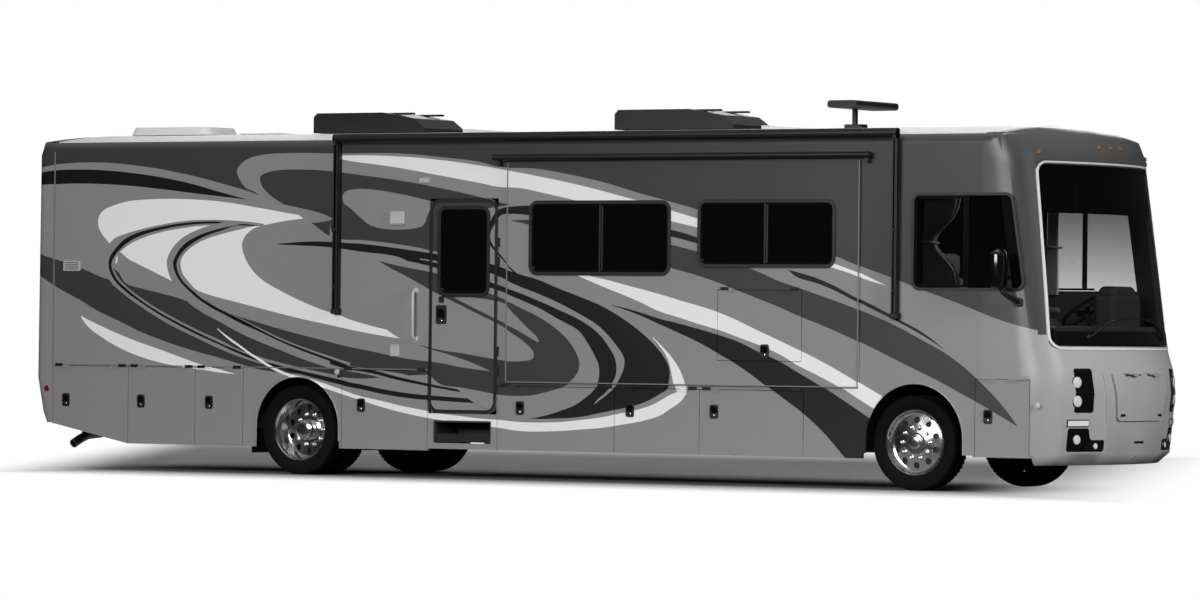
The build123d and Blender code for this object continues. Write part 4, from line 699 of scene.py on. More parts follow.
for node in ("right_wall", "left_wall", "entry_door"):
    dress_skin(node, WALL_Y)
for node in ("room_bay_right", "room_bay_left"):
    dress_skin(node, BAY_FACE_Y)
dress_by("front_cap", ("front_paint", "inner_wall"),
         lambda c, n: 1 if n.x < -0.3 or (abs(c.y) < 1.24 and n.y * c.y < 0 and c.x < 5.2) else 0)
dress_by("roof_shell", ("body_paint", "white_membrane"), lambda c, n: 1 if n.z > 0.85 else 0)
dress_by("body_glass", ("dark_glass", "tinted_glass", "far_glass"),
         lambda c, n: 0 if c.x < 4.0 else (1 if c.y < 0 else 2))
dress_by("roof_fittings", ("roof_white", "black_trim"), lambda c, n: 1 if c.x > 2.0 else 0)

# Curved shells shade smooth up to an angle, in degrees
for node, angle in (("front_cap", 48.0), ("rear_cap", 48.0), ("hood", 30.0), ("windshield", 30.0),
                    ("roof_shell", 24.0)):
    o = nodes[node]
    for p in o.data.polygons:
        p.use_smooth = True
    join = o.modifiers.new("join", "WELD")
    join.merge_threshold = 0.0004
    part_edges = o.modifiers.new("part_edges", "EDGE_SPLIT")
    part_edges.split_angle = math.radians(angle)
    even = o.modifiers.new("even", "WEIGHTED_NORMAL")
    even.keep_sharp = True


# ---------------------------------------------------------------- piece helpers
def mesh_piece(name, verts, faces, body, finish, slot=None, smooth=None, round_by=0.0, steps=2):
    """A piece in the row frame that rides on a body."""
    data = bpy.data.meshes.new(name)
    data.from_pydata([tuple(v) for v in verts], [], faces)
    data.update()
    o = bpy.data.objects.new(name, data)
    scene.collection.objects.link(o)
    data.materials.append(materials[finish])
    if smooth is not None:
        data.set_sharp_from_angle(angle=math.radians(smooth))
        for p in data.polygons:
            p.use_smooth = True
    if round_by:
        b = o.modifiers.new("round", "BEVEL")
        b.width = round_by
        b.segments = steps
        b.limit_method = "ANGLE"
        b.harden_normals = True
        for p in data.polygons:
            p.use_smooth = True
    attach(o, body)
    return o


BOX_FACES = [(0, 3, 2, 1), (4, 5, 6, 7), (0, 1, 5, 4), (1, 2, 6, 5), (2, 3, 7, 6), (3, 0, 4, 7)]


def box_verts(x0, x1, y0, y1, z0, z1):
    y0, y1 = min(y0, y1), max(y0, y1)
    return [(x0, y0, z0), (x1, y0, z0), (x1, y1, z0), (x0, y1, z0),
            (x0, y0, z1), (x1, y0, z1), (x1, y1, z1), (x0, y1, z1)]


def boxes_piece(name, rows, body, finish, slot=None, round_by=0.0, steps=2):
    """Several boxes (x0, x1, y0, y1, z0, z1) as one piece."""
    verts, faces = [], []
    for r in rows:
        n = len(verts)
        verts += box_verts(*r)
        faces += [tuple(i + n for i in f) for f in BOX_FACES]
    return mesh_piece(name, verts, faces, body, finish, slot, round_by=round_by, steps=steps)


def lathe_verts(profile, centre, steps, side):
    """Profile rows (along, radius) turned about the Y axis through the centre."""
    verts, faces = [], []
    for k in range(steps):
        a = 2 * math.pi * k / steps
        for along, radius in profile:
            verts.append((centre[0] + radius * math.cos(a), centre[1] + side * along,
                          centre[2] + radius * math.sin(a)))
    n = len(profile)
    for k in range(steps):
        j = (k + 1) % steps
        for i in range(n - 1):
            quad = (k * n + i, k * n + i + 1, j * n + i + 1, j * n + i)
            faces.append(quad if side > 0 else quad[::-1])
    return verts, faces


def lathe_piece(name, profile, centre, side, body, finish, steps=64):
    """A turned piece of a wheel, in its finish."""
    verts, faces = lathe_verts(profile, centre, steps, side)
    return mesh_piece(name, verts, faces, body, finish, finish, smooth=35)


def line_piece(name, lines, radius, body, finish, closed=False, sides=3):
    """Round bars along one or more lines of points."""
    data = bpy.data.curves.new(name, "CURVE")
    data.dimensions = "3D"
    data.bevel_depth = radius
    data.bevel_resolution = sides
    data.use_fill_caps = True
    for points in lines:
        s = data.splines.new("POLY")
        s.points.add(len(points) - 1)
        for p, q in zip(s.points, points):
            p.co = (q[0], q[1], q[2], 1.0)
        s.use_cyclic_u = closed
        s.use_smooth = True
    o = bpy.data.objects.new(name, data)
    scene.collection.objects.link(o)
    data.materials.append(materials[finish])
    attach(o, body)
    return o


def rounded_rect(x0, x1, z0, z1, r, steps=6):
    """Corner points of a rounded rectangle, counter-clockwise."""
    out = []
    corners = ((x1 - r, z1 - r, 0), (x0 + r, z1 - r, 90), (x0 + r, z0 + r, 180), (x1 - r, z0 + r, 270))
    for cx, cz, start in corners:
        for k in range(steps + 1):
            a = math.radians(start + 90.0 * k / steps)
            out.append((cx + r * math.cos(a), cz + r * math.sin(a)))
    return out


def ring_plate(name, outer, inner, y0, y1, body, finish, slot=None, round_by=0.0):
    """A flat frame between two outlines of (x, z) points with the same count, from y0 to y1."""
    n = len(outer)
    verts = [(x, y0, z) for x, z in outer] + [(x, y0, z) for x, z in inner]
    verts += [(x, y1, z) for x, z in outer] + [(x, y1, z) for x, z in inner]
    faces = []
    for k in range(n):
        j = (k + 1) % n
        faces += [(k, j, n + j, n + k), (2 * n + k, 3 * n + k, 3 * n + j, 2 * n + j),
                  (k, 2 * n + k, 2 * n + j, j), (n + k, n + j, 3 * n + j, 3 * n + k)]
    if y1 > y0:
        faces = [f[::-1] for f in faces]
    return mesh_piece(name, verts, faces, body, finish, slot, round_by=round_by)


def plate(name, outline, y0, y1, body, finish, slot=None, round_by=0.0):
    """A solid plate with an outline of (x, z) points, from y0 to y1."""
    n = len(outline)
    verts = [(x, y0, z) for x, z in outline] + [(x, y1, z) for x, z in outline]
    faces = [tuple(range(n)), tuple(range(2 * n - 1, n - 1, -1))]
    for k in range(n):
        j = (k + 1) % n
        faces.append((k, n + k, n + j, j))
    if y1 > y0:
        faces = [f[::-1] for f in faces]
    return mesh_piece(name, verts, faces, body, finish, slot, round_by=round_by)


# ---------------------------------------------------------------- tyres and wheels
# Profiles are rows of place along the axle and radius
tyre_profile = [(-0.095, 0.292), (-0.1, 0.302), (-0.112, 0.318), (-0.1205, 0.345), (-0.1225, 0.363),
                (-0.1205, 0.385), (-0.117, 0.398), (-0.1145, 0.4145), (-0.108, 0.4185), (-0.098, 0.4300),
                (-0.075, 0.4305), (-0.073, 0.4185), (-0.063, 0.4185), (-0.061, 0.4308), (-0.026, 0.4312),
                (-0.024, 0.4190), (-0.014, 0.4190), (-0.012, 0.4314), (0.012, 0.4314), (0.014, 0.4190),
                (0.024, 0.4190), (0.026, 0.4312), (0.061, 0.4308), (0.063, 0.4185), (0.073, 0.4185),
                (0.075, 0.4305), (0.098, 0.4300), (0.108, 0.4185), (0.1145, 0.4145), (0.117, 0.398),
                (0.1205, 0.385), (0.1225, 0.363), (0.1205, 0.345), (0.112, 0.318), (0.1, 0.302),
                (0.095, 0.292)]
wheel_profile = [(-0.100, 0.297), (-0.094, 0.297), (-0.090, 0.288), (-0.060, 0.281), (0.040, 0.281),
                 (0.075, 0.286), (0.088, 0.291), (0.094, 0.299), (0.103, 0.2995), (0.103, 0.294),
                 (0.098, 0.289), (0.082, 0.280), (0.066, 0.2745), (0.052, 0.262), (0.050, 0.254)]
HAND_HOLES = 10
HAND_HOLE_R = 0.030
NUTS = 10
NUT_SIDES = 12
NUT_R = 0.0165
NUT_HEIGHT = 0.026
LUGS = 58


def disc_mesh(centre, side, inner_r, outer_r, hole_ring, along_in, along_out):
    """A wheel disc with a ring of round hand holes, as sectors."""
    verts, faces = [], []
    around = 10
    for h in range(HAND_HOLES):
        a0 = 2 * math.pi * (h + 0.5) / HAND_HOLES
        half = math.pi / HAND_HOLES
        hx, hz = hole_ring * math.cos(a0), hole_ring * math.sin(a0)
        ring, edge = [], []
        for k in range(4 * around):
            b = 2 * math.pi * k / (4 * around) + a0
            px, pz = hx + HAND_HOLE_R * math.cos(b), hz + HAND_HOLE_R * math.sin(b)
            ring.append((px, pz))
            out_x, out_z = math.cos(b), math.sin(b)
            lo, hi = 0.0, 0.4
            for _ in range(24):
                mid = (lo + hi) / 2
                qx, qz = hx + out_x * mid, hz + out_z * mid
                rr = math.hypot(qx, qz)
                turn = abs((math.atan2(qz, qx) - a0 + math.pi) % (2 * math.pi) - math.pi)
                if inner_r <= rr <= outer_r and turn <= half:
                    lo = mid
                else:
                    hi = mid
            edge.append((hx + out_x * lo, hz + out_z * lo))
        n = len(verts)

        def along(px, pz):
            s = (math.hypot(px, pz) - inner_r) / (outer_r - inner_r)
            return along_in + (along_out - along_in) * min(1.0, max(0.0, s))

        m = len(ring)
        for px, pz in edge:
            verts.append((centre[0] + px, centre[1] + side * along(px, pz), centre[2] + pz))
        for px, pz in ring:
            verts.append((centre[0] + px, centre[1] + side * (along(px, pz) + 0.001), centre[2] + pz))
        for depth in (0.003, 0.02):
            for px, pz in ring:
                sx, sz = hx + (px - hx) * 0.93, hz + (pz - hz) * 0.93
                verts.append((centre[0] + sx, centre[1] + side * (along(px, pz) - depth), centre[2] + sz))
        for row in range(3):
            for k in range(m):
                j = (k + 1) % m
                quad = (n + row * m + k, n + (row + 1) * m + k, n + (row + 1) * m + j, n + row * m + j)
                faces.append(quad if side > 0 else quad[::-1])
    return verts, faces


def nut_ring(name, centre, side, ring_r, along, body):
    """Hexagon nuts with a washer and a rounded tip."""
    rows = [(0.0, NUT_R * 1.35), (0.004, NUT_R * 1.35), (0.0042, NUT_R * 1.08),
            (NUT_HEIGHT * 0.7, NUT_R * 1.04), (NUT_HEIGHT * 0.86, NUT_R * 0.86), (NUT_HEIGHT, NUT_R * 0.45)]
    m = NUT_SIDES
    verts, faces = [], []
    for k in range(NUTS):
        a = 2 * math.pi * k / NUTS
        cx, cz = centre[0] + ring_r * math.cos(a), centre[2] + ring_r * math.sin(a)
        n = len(verts)
        for step, r in rows:
            for i in range(m):
                b = 2 * math.pi * i / m
                rr = r * (0.92 if (i % 2 and 0.004 < step < NUT_HEIGHT * 0.8) else 1.0)
                verts.append((cx + rr * math.cos(b), centre[1] + side * (along + step),
                              cz + rr * math.sin(b)))
        for row in range(len(rows) - 1):
            for i in range(m):
                j = (i + 1) % m
                quad = (n + row * m + i, n + (row + 1) * m + i, n + (row + 1) * m + j, n + row * m + j)
                faces.append(quad if side > 0 else quad[::-1])
        cap = tuple(n + (len(rows) - 1) * m + i for i in range(m))
        faces.append(cap[::-1] if side > 0 else cap)
    return mesh_piece(name, verts, faces, body, "chrome", "polished_alloy", smooth=40)


def tread_blocks(verts, faces, centre, side):
    """Cross cuts on the shoulder ribs as raised lugs."""
    for k in range(LUGS):
        a = 2 * math.pi * k / LUGS
        da = 2 * math.pi / LUGS * 0.34
        for along0, along1, r_in, r_out in ((0.099, 0.1165, 0.410, 0.4285),
                                            (-0.1165, -0.099, 0.410, 0.4285)):
            n = len(verts)
            for b in (a - da, a + da):
                for along, radius in ((along0, r_in), (along1, r_in - 0.002), (along1, r_out - 0.008),
                                      (along0, r_out)):
                    verts.append((centre[0] + radius * math.cos(b), centre[1] + side * along,
                                  centre[2] + radius * math.sin(b)))
            quads = [(0, 1, 2, 3), (7, 6, 5, 4), (0, 4, 5, 1), (1, 5, 6, 2), (2, 6, 7, 3), (3, 7, 4, 0)]
            faces += [tuple(i + n for i in q) for q in quads]


def tyre(name, centre, side, body):
    verts, faces = lathe_verts(tyre_profile, centre, 96, side)
    tread_blocks(verts, faces, centre, side)
    return mesh_piece(name, verts, faces, body, "tyre_rubber", "tyre_rubber", smooth=28)


def alloy(name, profile, centre, side, body, steps=72):
    return lathe_piece(name, profile, centre, side, body, "polished_alloy", steps)


def wheel_disc(name, centre, side, body, *sizes):
    verts, faces = disc_mesh(centre, side, *sizes)
    return mesh_piece(name, verts, faces, body, "polished_alloy", "polished_alloy", smooth=30)


def hub_cap(name, centre, side, body, along, radius, length):
    profile = [(along, radius * 1.35), (along + 0.006, radius * 1.35), (along + 0.008, radius * 1.02),
               (along + length * 0.7, radius), (along + length * 0.9, radius * 0.93),
               (along + length, radius * 0.7), (along + length * 1.02, radius * 0.35),
               (along + length * 1.02, 0.0005)]
    return alloy(name, profile, centre, side, body, 40)


for side, tag in SIDES:
    body = f"front_roller_{tag}"
    centre = (FRONT_AXLE_X, side * FRONT_WHEEL_Y, HUB_Z)
    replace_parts(tyre(f"tyre_front_{tag}", centre, side, body), f"front_tyre_{tag}")
    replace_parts(alloy(f"rim_front_{tag}", wheel_profile, centre, side, body), f"front_wheel_{tag}")
    wheel_disc(f"disc_front_{tag}", centre, side, body, 0.122, 0.255, 0.205, 0.086, 0.052)
    alloy(f"disc_centre_front_{tag}", [(0.086, 0.1225), (0.089, 0.118), (0.089, 0.08), (0.087, 0.06)],
          centre, side, body, 64)
    nut_ring(f"nuts_front_{tag}", centre, side, 0.1430, 0.083, body)
    hub_cap(f"hub_cap_front_{tag}", centre, side, body, 0.088, 0.056, 0.034)
    lathe_piece(f"brake_drum_front_{tag}", [(0.046, 0.05), (0.046, 0.20), (0.03, 0.235), (-0.08, 0.24)],
                centre, side, body, "cast_dark", 48)

    body = f"rear_roller_{tag}"
    for place, twin_y in (("outer", TWIN_OUTER_Y), ("inner", TWIN_INNER_Y)):
        centre = (REAR_AXLE_X, side * twin_y, HUB_Z)
        twin_tyre = tyre(f"tyre_rear_{place}_{tag}", centre, side, body)
        twin_rim = alloy(f"rim_rear_{place}_{tag}", wheel_profile[:-3], centre, side, body)
        if place == "outer":
            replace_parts(twin_tyre, f"rear_tyres_{tag}")
            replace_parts(twin_rim, f"rear_wheels_{tag}")
    centre = (REAR_AXLE_X, side * TWIN_OUTER_Y, HUB_Z)
    alloy(f"dish_rear_{tag}", [(0.090, 0.289), (0.06, 0.2755), (-0.02, 0.262), (-0.055, 0.252)], centre, side,
          body)
    wheel_disc(f"disc_rear_{tag}", centre, side, body, 0.128, 0.253, 0.208, -0.072, -0.055)
    alloy(f"disc_centre_rear_{tag}", [(-0.072, 0.1285), (-0.066, 0.122), (-0.066, 0.11)], centre, side,
          body, 64)
    nut_ring(f"nuts_rear_{tag}", centre, side, 0.1480, -0.074, body)
    hub_cap(f"hub_rear_{tag}", centre, side, body, -0.066, 0.098, 0.118)
    lathe_piece(f"drum_rear_{tag}", [(-0.1, 0.05), (-0.1, 0.20), (-0.12, 0.24), (-0.3, 0.245)],
                centre, side, body, "cast_dark", 48)

# ---------------------------------------------------------------- surface of the nose
FRONT_X = 5.809
BOW_R = 2.800
CORNER_R = 0.365
STATIONS = [(0.252, 0.176), (0.350, 0.056), (0.900, 0.0), (1.100, 0.026), (1.300, 0.090), (2.950, 0.334),
            (3.000, 0.316), (3.200, 0.405), (3.285, 0.640), (3.318, 0.990)]


def set_back(z):
    """How far the nose lies behind its foremost point at a height."""
    for (z0, b0), (z1, b1) in zip(STATIONS, STATIONS[1:]):
        if z <= z1:
            return b0 + (b1 - b0) * max(0.0, (z - z0) / (z1 - z0))
    return STATIONS[-1][1]


def nose_x(y, z, out=0.0):
    """X of the nose's surface, or of a skin outside it."""
    tip = FRONT_X - set_back(z)
    centre = tip - BOW_R
    turn = math.asin((WALL_Y - CORNER_R) / (BOW_R - CORNER_R))
    reach = BOW_R + out
    if abs(y) <= reach * math.sin(turn):
        return centre + math.sqrt(reach * reach - y * y)
    corner_x = centre + (BOW_R - CORNER_R) * math.cos(turn)
    r = CORNER_R + out
    across = min(r, abs(y) - (WALL_Y - CORNER_R))
    return corner_x + math.sqrt(max(0.0, r * r - across * across))


def nose_band(name, outer, inner, out0, out1, finish, slot):
    """A thin band on the nose between two closed outlines of (y, z) points."""
    n = len(outer)
    rows = []
    for outline, out in ((outer, out0), (outer, out1), (inner, out1), (inner, out0)):
        rows += [(nose_x(y, z, out), y, z) for y, z in outline]
    faces = []
    for row in range(4):
        nxt = (row + 1) % 4
        for k in range(n):
            j = (k + 1) % n
            faces.append((row * n + k, row * n + j, nxt * n + j, nxt * n + k))
    return mesh_piece(name, rows, faces, "root", finish, slot, smooth=30)


def nose_patch(name, y0, y1, z0, z1, out0, out1, body, finish, slot=None, cells=8, top_y=None):
    """A skin on the nose over a four-sided area. top_y gives other side limits at the top."""
    if top_y is None:
        top_y = (y0, y1)
    verts, faces = [], []
    for out in (out0, out1):
        for i in range(cells + 1):
            s = i / cells
            z = z0 + (z1 - z0) * s
            a, b = y0 + (top_y[0] - y0) * s, y1 + (top_y[1] - y1) * s
            for k in range(cells + 1):
                y = a + (b - a) * k / cells
                verts.append((nose_x(y, z, out), y, z))
    m = (cells + 1) ** 2
    for i in range(cells):
        for k in range(cells):
            p = i * (cells + 1) + k
            q = (p, p + 1, p + cells + 2, p + cells + 1)
            faces += [q[::-1], tuple(v + m for v in q)]
    for k in range(cells):
        low, high = k, cells * (cells + 1) + k
        left, right = k * (cells + 1), k * (cells + 1) + cells
        faces += [(low, low + 1, low + 1 + m, low + m), (high + 1, high, high + m, high + 1 + m),
                  (left + cells + 1, left, left + m, left + cells + 1 + m),
                  (right, right + cells + 1, right + cells + 1 + m, right + m)]
    return mesh_piece(name, verts, faces, body, finish, slot, smooth=30)


def round_outline(corners, r):
    """A closed outline with rounded corners, with the same count for any r."""
    out = []
    steps = 5
    n = len(corners)
    for k in range(n):
        p, c, q = Vector(corners[k - 1]), Vector(corners[k]), Vector(corners[(k + 1) % n])
        a, b = (p - c).normalized(), (q - c).normalized()
        half = math.acos(max(-1.0, min(1.0, a.dot(b)))) / 2
        cut = r / math.tan(half)
        centre = c + (a + b).normalized() * (r / math.sin(half))
        s, e = c + a * cut - centre, c + b * cut - centre
        for i in range(steps + 1):
            t = i / steps
            way = (s * (1 - t) + e * t)
            way = way.normalized() * r if way.length > 1e-9 else way
            out.append(tuple(centre + way))
    return out


def grow(corners, by):
    """A four-sided (y, z) outline grown by the same amount on every side, about its middle."""
    cy = sum(c[0] for c in corners) / len(corners)
    cz = sum(c[1] for c in corners) / len(corners)
    return [(y + math.copysign(by, y - cy), z + math.copysign(by, z - cz)) for y, z in corners]


def disc_on(name, place, facing, radius, depth, body, finish, slot):
    """A domed round piece at a place, facing a direction."""
    way = Vector(facing).normalized()
    side_way = way.cross(Vector((0.0, 0.0, 1.0)))
    if side_way.length < 0.1:
        side_way = way.cross(Vector((1.0, 0.0, 0.0)))
    side_way.normalize()
    up_way = side_way.cross(way)
    steps = 28
    rows = [(0.0, 1.0), (0.7, 1.0), (0.86, 0.94), (0.97, 0.72), (1.0, 0.4), (1.02, 0.02)]
    verts, faces = [], []
    for share, r in rows:
        for k in range(steps):
            a = 2 * math.pi * k / steps
            verts.append(Vector(place) + way * (depth * share) + side_way * (radius * r * math.cos(a))
                         + up_way * (radius * r * math.sin(a)))
    for i in range(len(rows) - 1):
        for k in range(steps):
            j = (k + 1) % steps
            faces.append((i * steps + k, (i + 1) * steps + k, (i + 1) * steps + j, i * steps + j))
    faces.append(tuple(range(steps)))
    return mesh_piece(name, verts, faces, body, finish, slot, smooth=50)


def mirrored(side, a, b):
    """Two places across, in rising order, on the side asked for."""
    return sorted((side * a, side * b))


# ---------------------------------------------------------------- windows
SHIELD = [(-1.140, 1.318), (1.140, 1.318), (1.062, 2.946), (-1.062, 2.946)]
RIM_LAP = 0.026
RIM_PROUD = 0.007


def window_dress(name, body, side, outer_y, x0, x1, z0, z1, mullions=()):
    """Moulded frame, inner slider frame and mullions of one side window."""
    corner = 0.062
    lap = RIM_LAP + 0.004
    outer = rounded_rect(x0 - lap, x1 + lap, z0 - lap, z1 + lap, corner + 0.03)
    lip = rounded_rect(x0 + 0.004, x1 - 0.004, z0 + 0.004, z1 - 0.004, corner - 0.004)
    inner = rounded_rect(x0 + 0.020, x1 - 0.020, z0 + 0.020, z1 - 0.020, corner - 0.02)
    face = side * (outer_y + RIM_PROUD)
    ring_plate(f"{name}_frame", outer, lip, face - side * 0.004, face + side * 0.0035, body, "black_trim",
               "black_trim", round_by=0.0022)
    pane = side * (outer_y - RIM_PROUD)
    ring_plate(f"{name}_slider", lip, inner, pane, pane + side * 0.008, body, "gloss_black", "black_trim",
               round_by=0.002)
    rows = []
    for x in mullions:
        rows += [(x - 0.021, x - 0.003, pane, pane + side * 0.009, z0 + 0.006, z1 - 0.006),
                 (x + 0.003, x + 0.021, pane, pane + side * 0.006, z0 + 0.006, z1 - 0.006)]
    if rows:
        boxes_piece(f"{name}_mullions", rows, body, "black_trim", "black_trim", round_by=0.002)


window_dress("bay_window_1", "bay_right", -1, BAY_FACE_Y, 0.055, 1.551, 1.955, 2.596, (0.817,))
window_dress("bay_window_2", "bay_right", -1, BAY_FACE_Y, 1.899, 3.304, 2.032, 2.602, (2.596,))
window_dress("left_bay_window_1", "bay_left", 1, BAY_FACE_Y, -0.900, 0.600, 1.955, 2.596, (-0.15,))
window_dress("left_bay_window_2", "bay_left", 1, BAY_FACE_Y, 1.150, 2.250, 1.955, 2.596, (1.70,))
window_dress("left_wall_window_1", "root", 1, WALL_Y, -4.450, -3.350, 1.955, 2.596, (-3.90,))
window_dress("left_wall_window_2", "root", 1, WALL_Y, -2.400, -1.700, 2.100, 2.596, (-2.05,))
window_dress("door_window", "door_leaf", -1, WALL_Y, -0.985, -0.454, 1.748, 2.550)
for side, tag, split_x in ((-1, "right", 4.660), (1, "left", 4.535)):
    pane = side * (WALL_Y - RIM_PROUD)
    boxes_piece(f"cab_mullion_{tag}", [
        (split_x - 0.026, split_x, pane, pane + side * 0.010, 1.838, 2.652),
        (split_x + 0.002, split_x + 0.026, pane, pane + side * 0.007, 1.838, 2.652),
        (4.150, 4.640, pane, pane + side * 0.007, 2.632, 2.652),
        (4.150, 4.640, pane, pane + side * 0.007, 1.838, 1.858),
        (4.142, 4.160, pane, pane + side * 0.007, 1.850, 2.640)], "root", "gloss_black", "black_trim",
        round_by=0.002)


def matched(outline_a, outline_b):
    """Both outlines resampled to the same number of points by their running length."""
    def sample(points, count):
        lengths = [0.0]
        for k in range(len(points)):
            a, b = points[k], points[(k + 1) % len(points)]
            lengths.append(lengths[-1] + math.hypot(b[0] - a[0], b[1] - a[1]))
        out = []
        k = 0
        for i in range(count):
            target = lengths[-1] * i / count
            while lengths[k + 1] < target:
                k += 1
            a, b = points[k], points[(k + 1) % len(points)]
            share = (target - lengths[k]) / max(1e-9, lengths[k + 1] - lengths[k])
            out.append((a[0] + (b[0] - a[0]) * share, a[1] + (b[1] - a[1]) * share))
        return out
    return sample(outline_a, 220), sample(outline_b, 220)


# Bands round the windshield: name, outer growth and corner, inner growth and corner, skins, finish, slot
SHIELD_BANDS = [
    ("shield_trim", 0.030, 0.110, 0.012, 0.092, -0.004, 0.007, "pale_plastic", "body_paint"),
    ("shield_gasket", 0.012, 0.092, -0.022, 0.070, -0.006, 0.003, "rubber", "black_trim"),
    ("shield_border", -0.015, 0.075, -0.060, 0.050, -0.016, -0.013, "gloss_black", "dark_glass")]
for name, by_a, r_a, by_b, r_b, out0, out1, finish, slot in SHIELD_BANDS:
    nose_band(name, *matched(round_outline(grow(SHIELD, by_a), r_a), round_outline(grow(SHIELD, by_b), r_b)),
              out0, out1, finish, slot)
nose_patch("shield_header", -1.09, 1.09, 2.510, 2.925, -0.020, -0.014, "root", "flat_black", "dash_plastic",
           cells=10, top_y=(-1.04, 1.04))
nose_patch("shield_cowl", -1.10, 1.10, 1.335, 1.452, -0.0045, 0.003, "root", "gloss_black", "black_trim",
           cells=12, top_y=(-1.095, 1.095))

# Wipers, parked on the cowl
for side, tag in SIDES:
    base = (nose_x(side * 0.72, 1.40, 0.014), side * 0.72, 1.40)
    disc_on(f"wiper_pivot_{tag}", (base[0] - 0.012, base[1], base[2]), (1, 0, 0.3), 0.022, 0.024, "root",
            "black_trim", "black_trim")
    arm = []
    for k in range(9):
        s = k / 8
        y, z = side * (0.72 - 0.42 * s), 1.40 + 0.16 * math.sin(s * 1.4)
        arm.append((nose_x(y, z, 0.022 + 0.01 * math.sin(math.pi * s)), y, z))
    line_piece(f"wiper_arm_{tag}", [arm], 0.009, "root", "black_trim")
    blade = []
    for k in range(13):
        s = k / 12
        y, z = side * (0.72 - 0.05 - 0.62 * s), 1.475 + 0.10 * math.sin(s * 1.6)
        blade.append((nose_x(y, z, 0.006), y, z))
    line_piece(f"wiper_blade_{tag}", [blade], 0.006, "root", "rubber")

# ---------------------------------------------------------------- lamps on the nose
NOSE_LAMPS = [("high", 0.960, 0.995, 0.050), ("low", 0.960, 0.826, 0.050), ("fog", 0.925, 0.483, 0.042),
              ("marker", 0.690, 0.425, 0.026)]
# Skins beside them: name, limits in y and in z, inner and outer skin, finish, slot, cells
NOSE_SKINS = [("lamp_fin", 0.775, 0.972, 0.902, 0.912, -0.012, 0.0005, "black_trim", "black_trim", 4),
              ("turn_lamp_bed", 0.800, 1.055, 0.596, 0.664, -0.004, 0.003, "gloss_black", "lamp_lens", 6),
              ("turn_lamp", 0.812, 1.045, 0.606, 0.654, 0.002, 0.010, "lamp_ribbed", "lamp_lens", 6)]
CORNER_MARKER = (1.05, 3.05)
ROOF_MARKER_Z = 3.11

for side, tag in SIDES:
    for name, y, z, r in NOSE_LAMPS:
        lean_out = (nose_x(side * (y + 0.02), z) - nose_x(side * (y - 0.02), z)) / 0.04
        facing = Vector((1.0, -side * lean_out, 0.0)).normalized()
        at = Vector((nose_x(side * y, z), side * y, z))
        disc_on(f"lamp_{name}_bezel_{tag}", at - facing * 0.014, facing, r * 1.16, 0.017, "root",
                "cast_dark", "lamp_lens")
        disc_on(f"lamp_{name}_lens_{tag}", at - facing * 0.010, facing, r, 0.020, "root",
                "lamp_white" if name != "marker" else "pale_plastic", "lamp_lens")
    for name, ya, yb, z0, z1, out0, out1, finish, slot, cells in NOSE_SKINS:
        nose_patch(f"{name}_{tag}", *mirrored(side, ya, yb), z0, z1, out0, out1, "root", finish, slot, cells)
    for k in range(4):
        z = 0.392 + 0.022 * k
        nose_patch(f"fog_slat_{tag}_{k}", *mirrored(side, 0.590, 0.790), z, z + 0.006, -0.012, -0.001,
                   "root", "black_trim", "black_trim", cells=4)
    y, z = side * CORNER_MARKER[0], CORNER_MARKER[1]
    disc_on(f"roof_marker_corner_{tag}", (nose_x(y, z, -0.004), y, z), (1.0, side * 0.9, 0.35), 0.020,
            0.016, "root", "amber_lens", "red_lens")
    for where, x, z in (("front", 5.396, 0.784), ("rear", -2.160, 0.990)):
        disc_on(f"side_marker_{where}_{tag}", (x, side * (WALL_Y - 0.002), z), (0, side, 0), 0.027, 0.012,
                "root", "pale_plastic", "lamp_lens")
for k, y in enumerate((-0.21, 0.0, 0.21)):
    disc_on(f"roof_marker_{k}", (nose_x(y, ROOF_MARKER_Z, -0.004), y, ROOF_MARKER_Z), (1.0, 0.0, 0.5), 0.020,
            0.016, "root", "amber_lens", "red_lens")
nose_patch("bumper_slot", -0.09, 0.09, 0.446, 0.466, -0.002, 0.0012, "root", "gloss_black", "black_trim",
           cells=4)
nose_patch("bumper_crease", -0.008, 0.008, 0.300, 0.440, -0.002, 0.004, "root", "front_paint", "body_paint",
           cells=4)
for side, tag in SIDES:
    y0, y1 = mirrored(side, 0.560, 0.575)
    nose_patch(f"hood_side_crease_{tag}", y0, y1, 0.640, 1.080, -0.003, 0.0035, "root", "front_paint",
               "body_paint", cells=6, top_y=(y0 + side * 0.06, y1 + side * 0.06))
    y = side * 0.36
    boxes_piece(f"hood_catch_{tag}", [
        (nose_x(y, 0.70, 0.016), nose_x(y, 0.70, 0.024), y - 0.045, y + 0.045, 0.690, 0.712)],
        "hood_panel", "black_trim", "black_trim", round_by=0.003)

# ---------------------------------------------------------------- side fittings


def latch(name, x, z, side, outer_y, body):
    """A paddle latch: bezel, dished paddle and key barrel."""
    face = side * outer_y
    bezel = rounded_rect(x - 0.046, x + 0.046, z - 0.064, z + 0.064, 0.020)
    plate(f"{name}_bezel", bezel, face, face + side * 0.006, body, "black_trim", "black_trim",
          round_by=0.002)
    paddle = rounded_rect(x - 0.034, x + 0.034, z - 0.012, z + 0.050, 0.012)
    plate(f"{name}_paddle", paddle, face + side * 0.005, face + side * 0.0125, body, "gloss_black",
          "black_trim", round_by=0.003)
    disc_on(f"{name}_key", (x, face + side * 0.005, z - 0.037), (0, side, 0), 0.013, 0.006, body, "chrome",
            "galvanised")


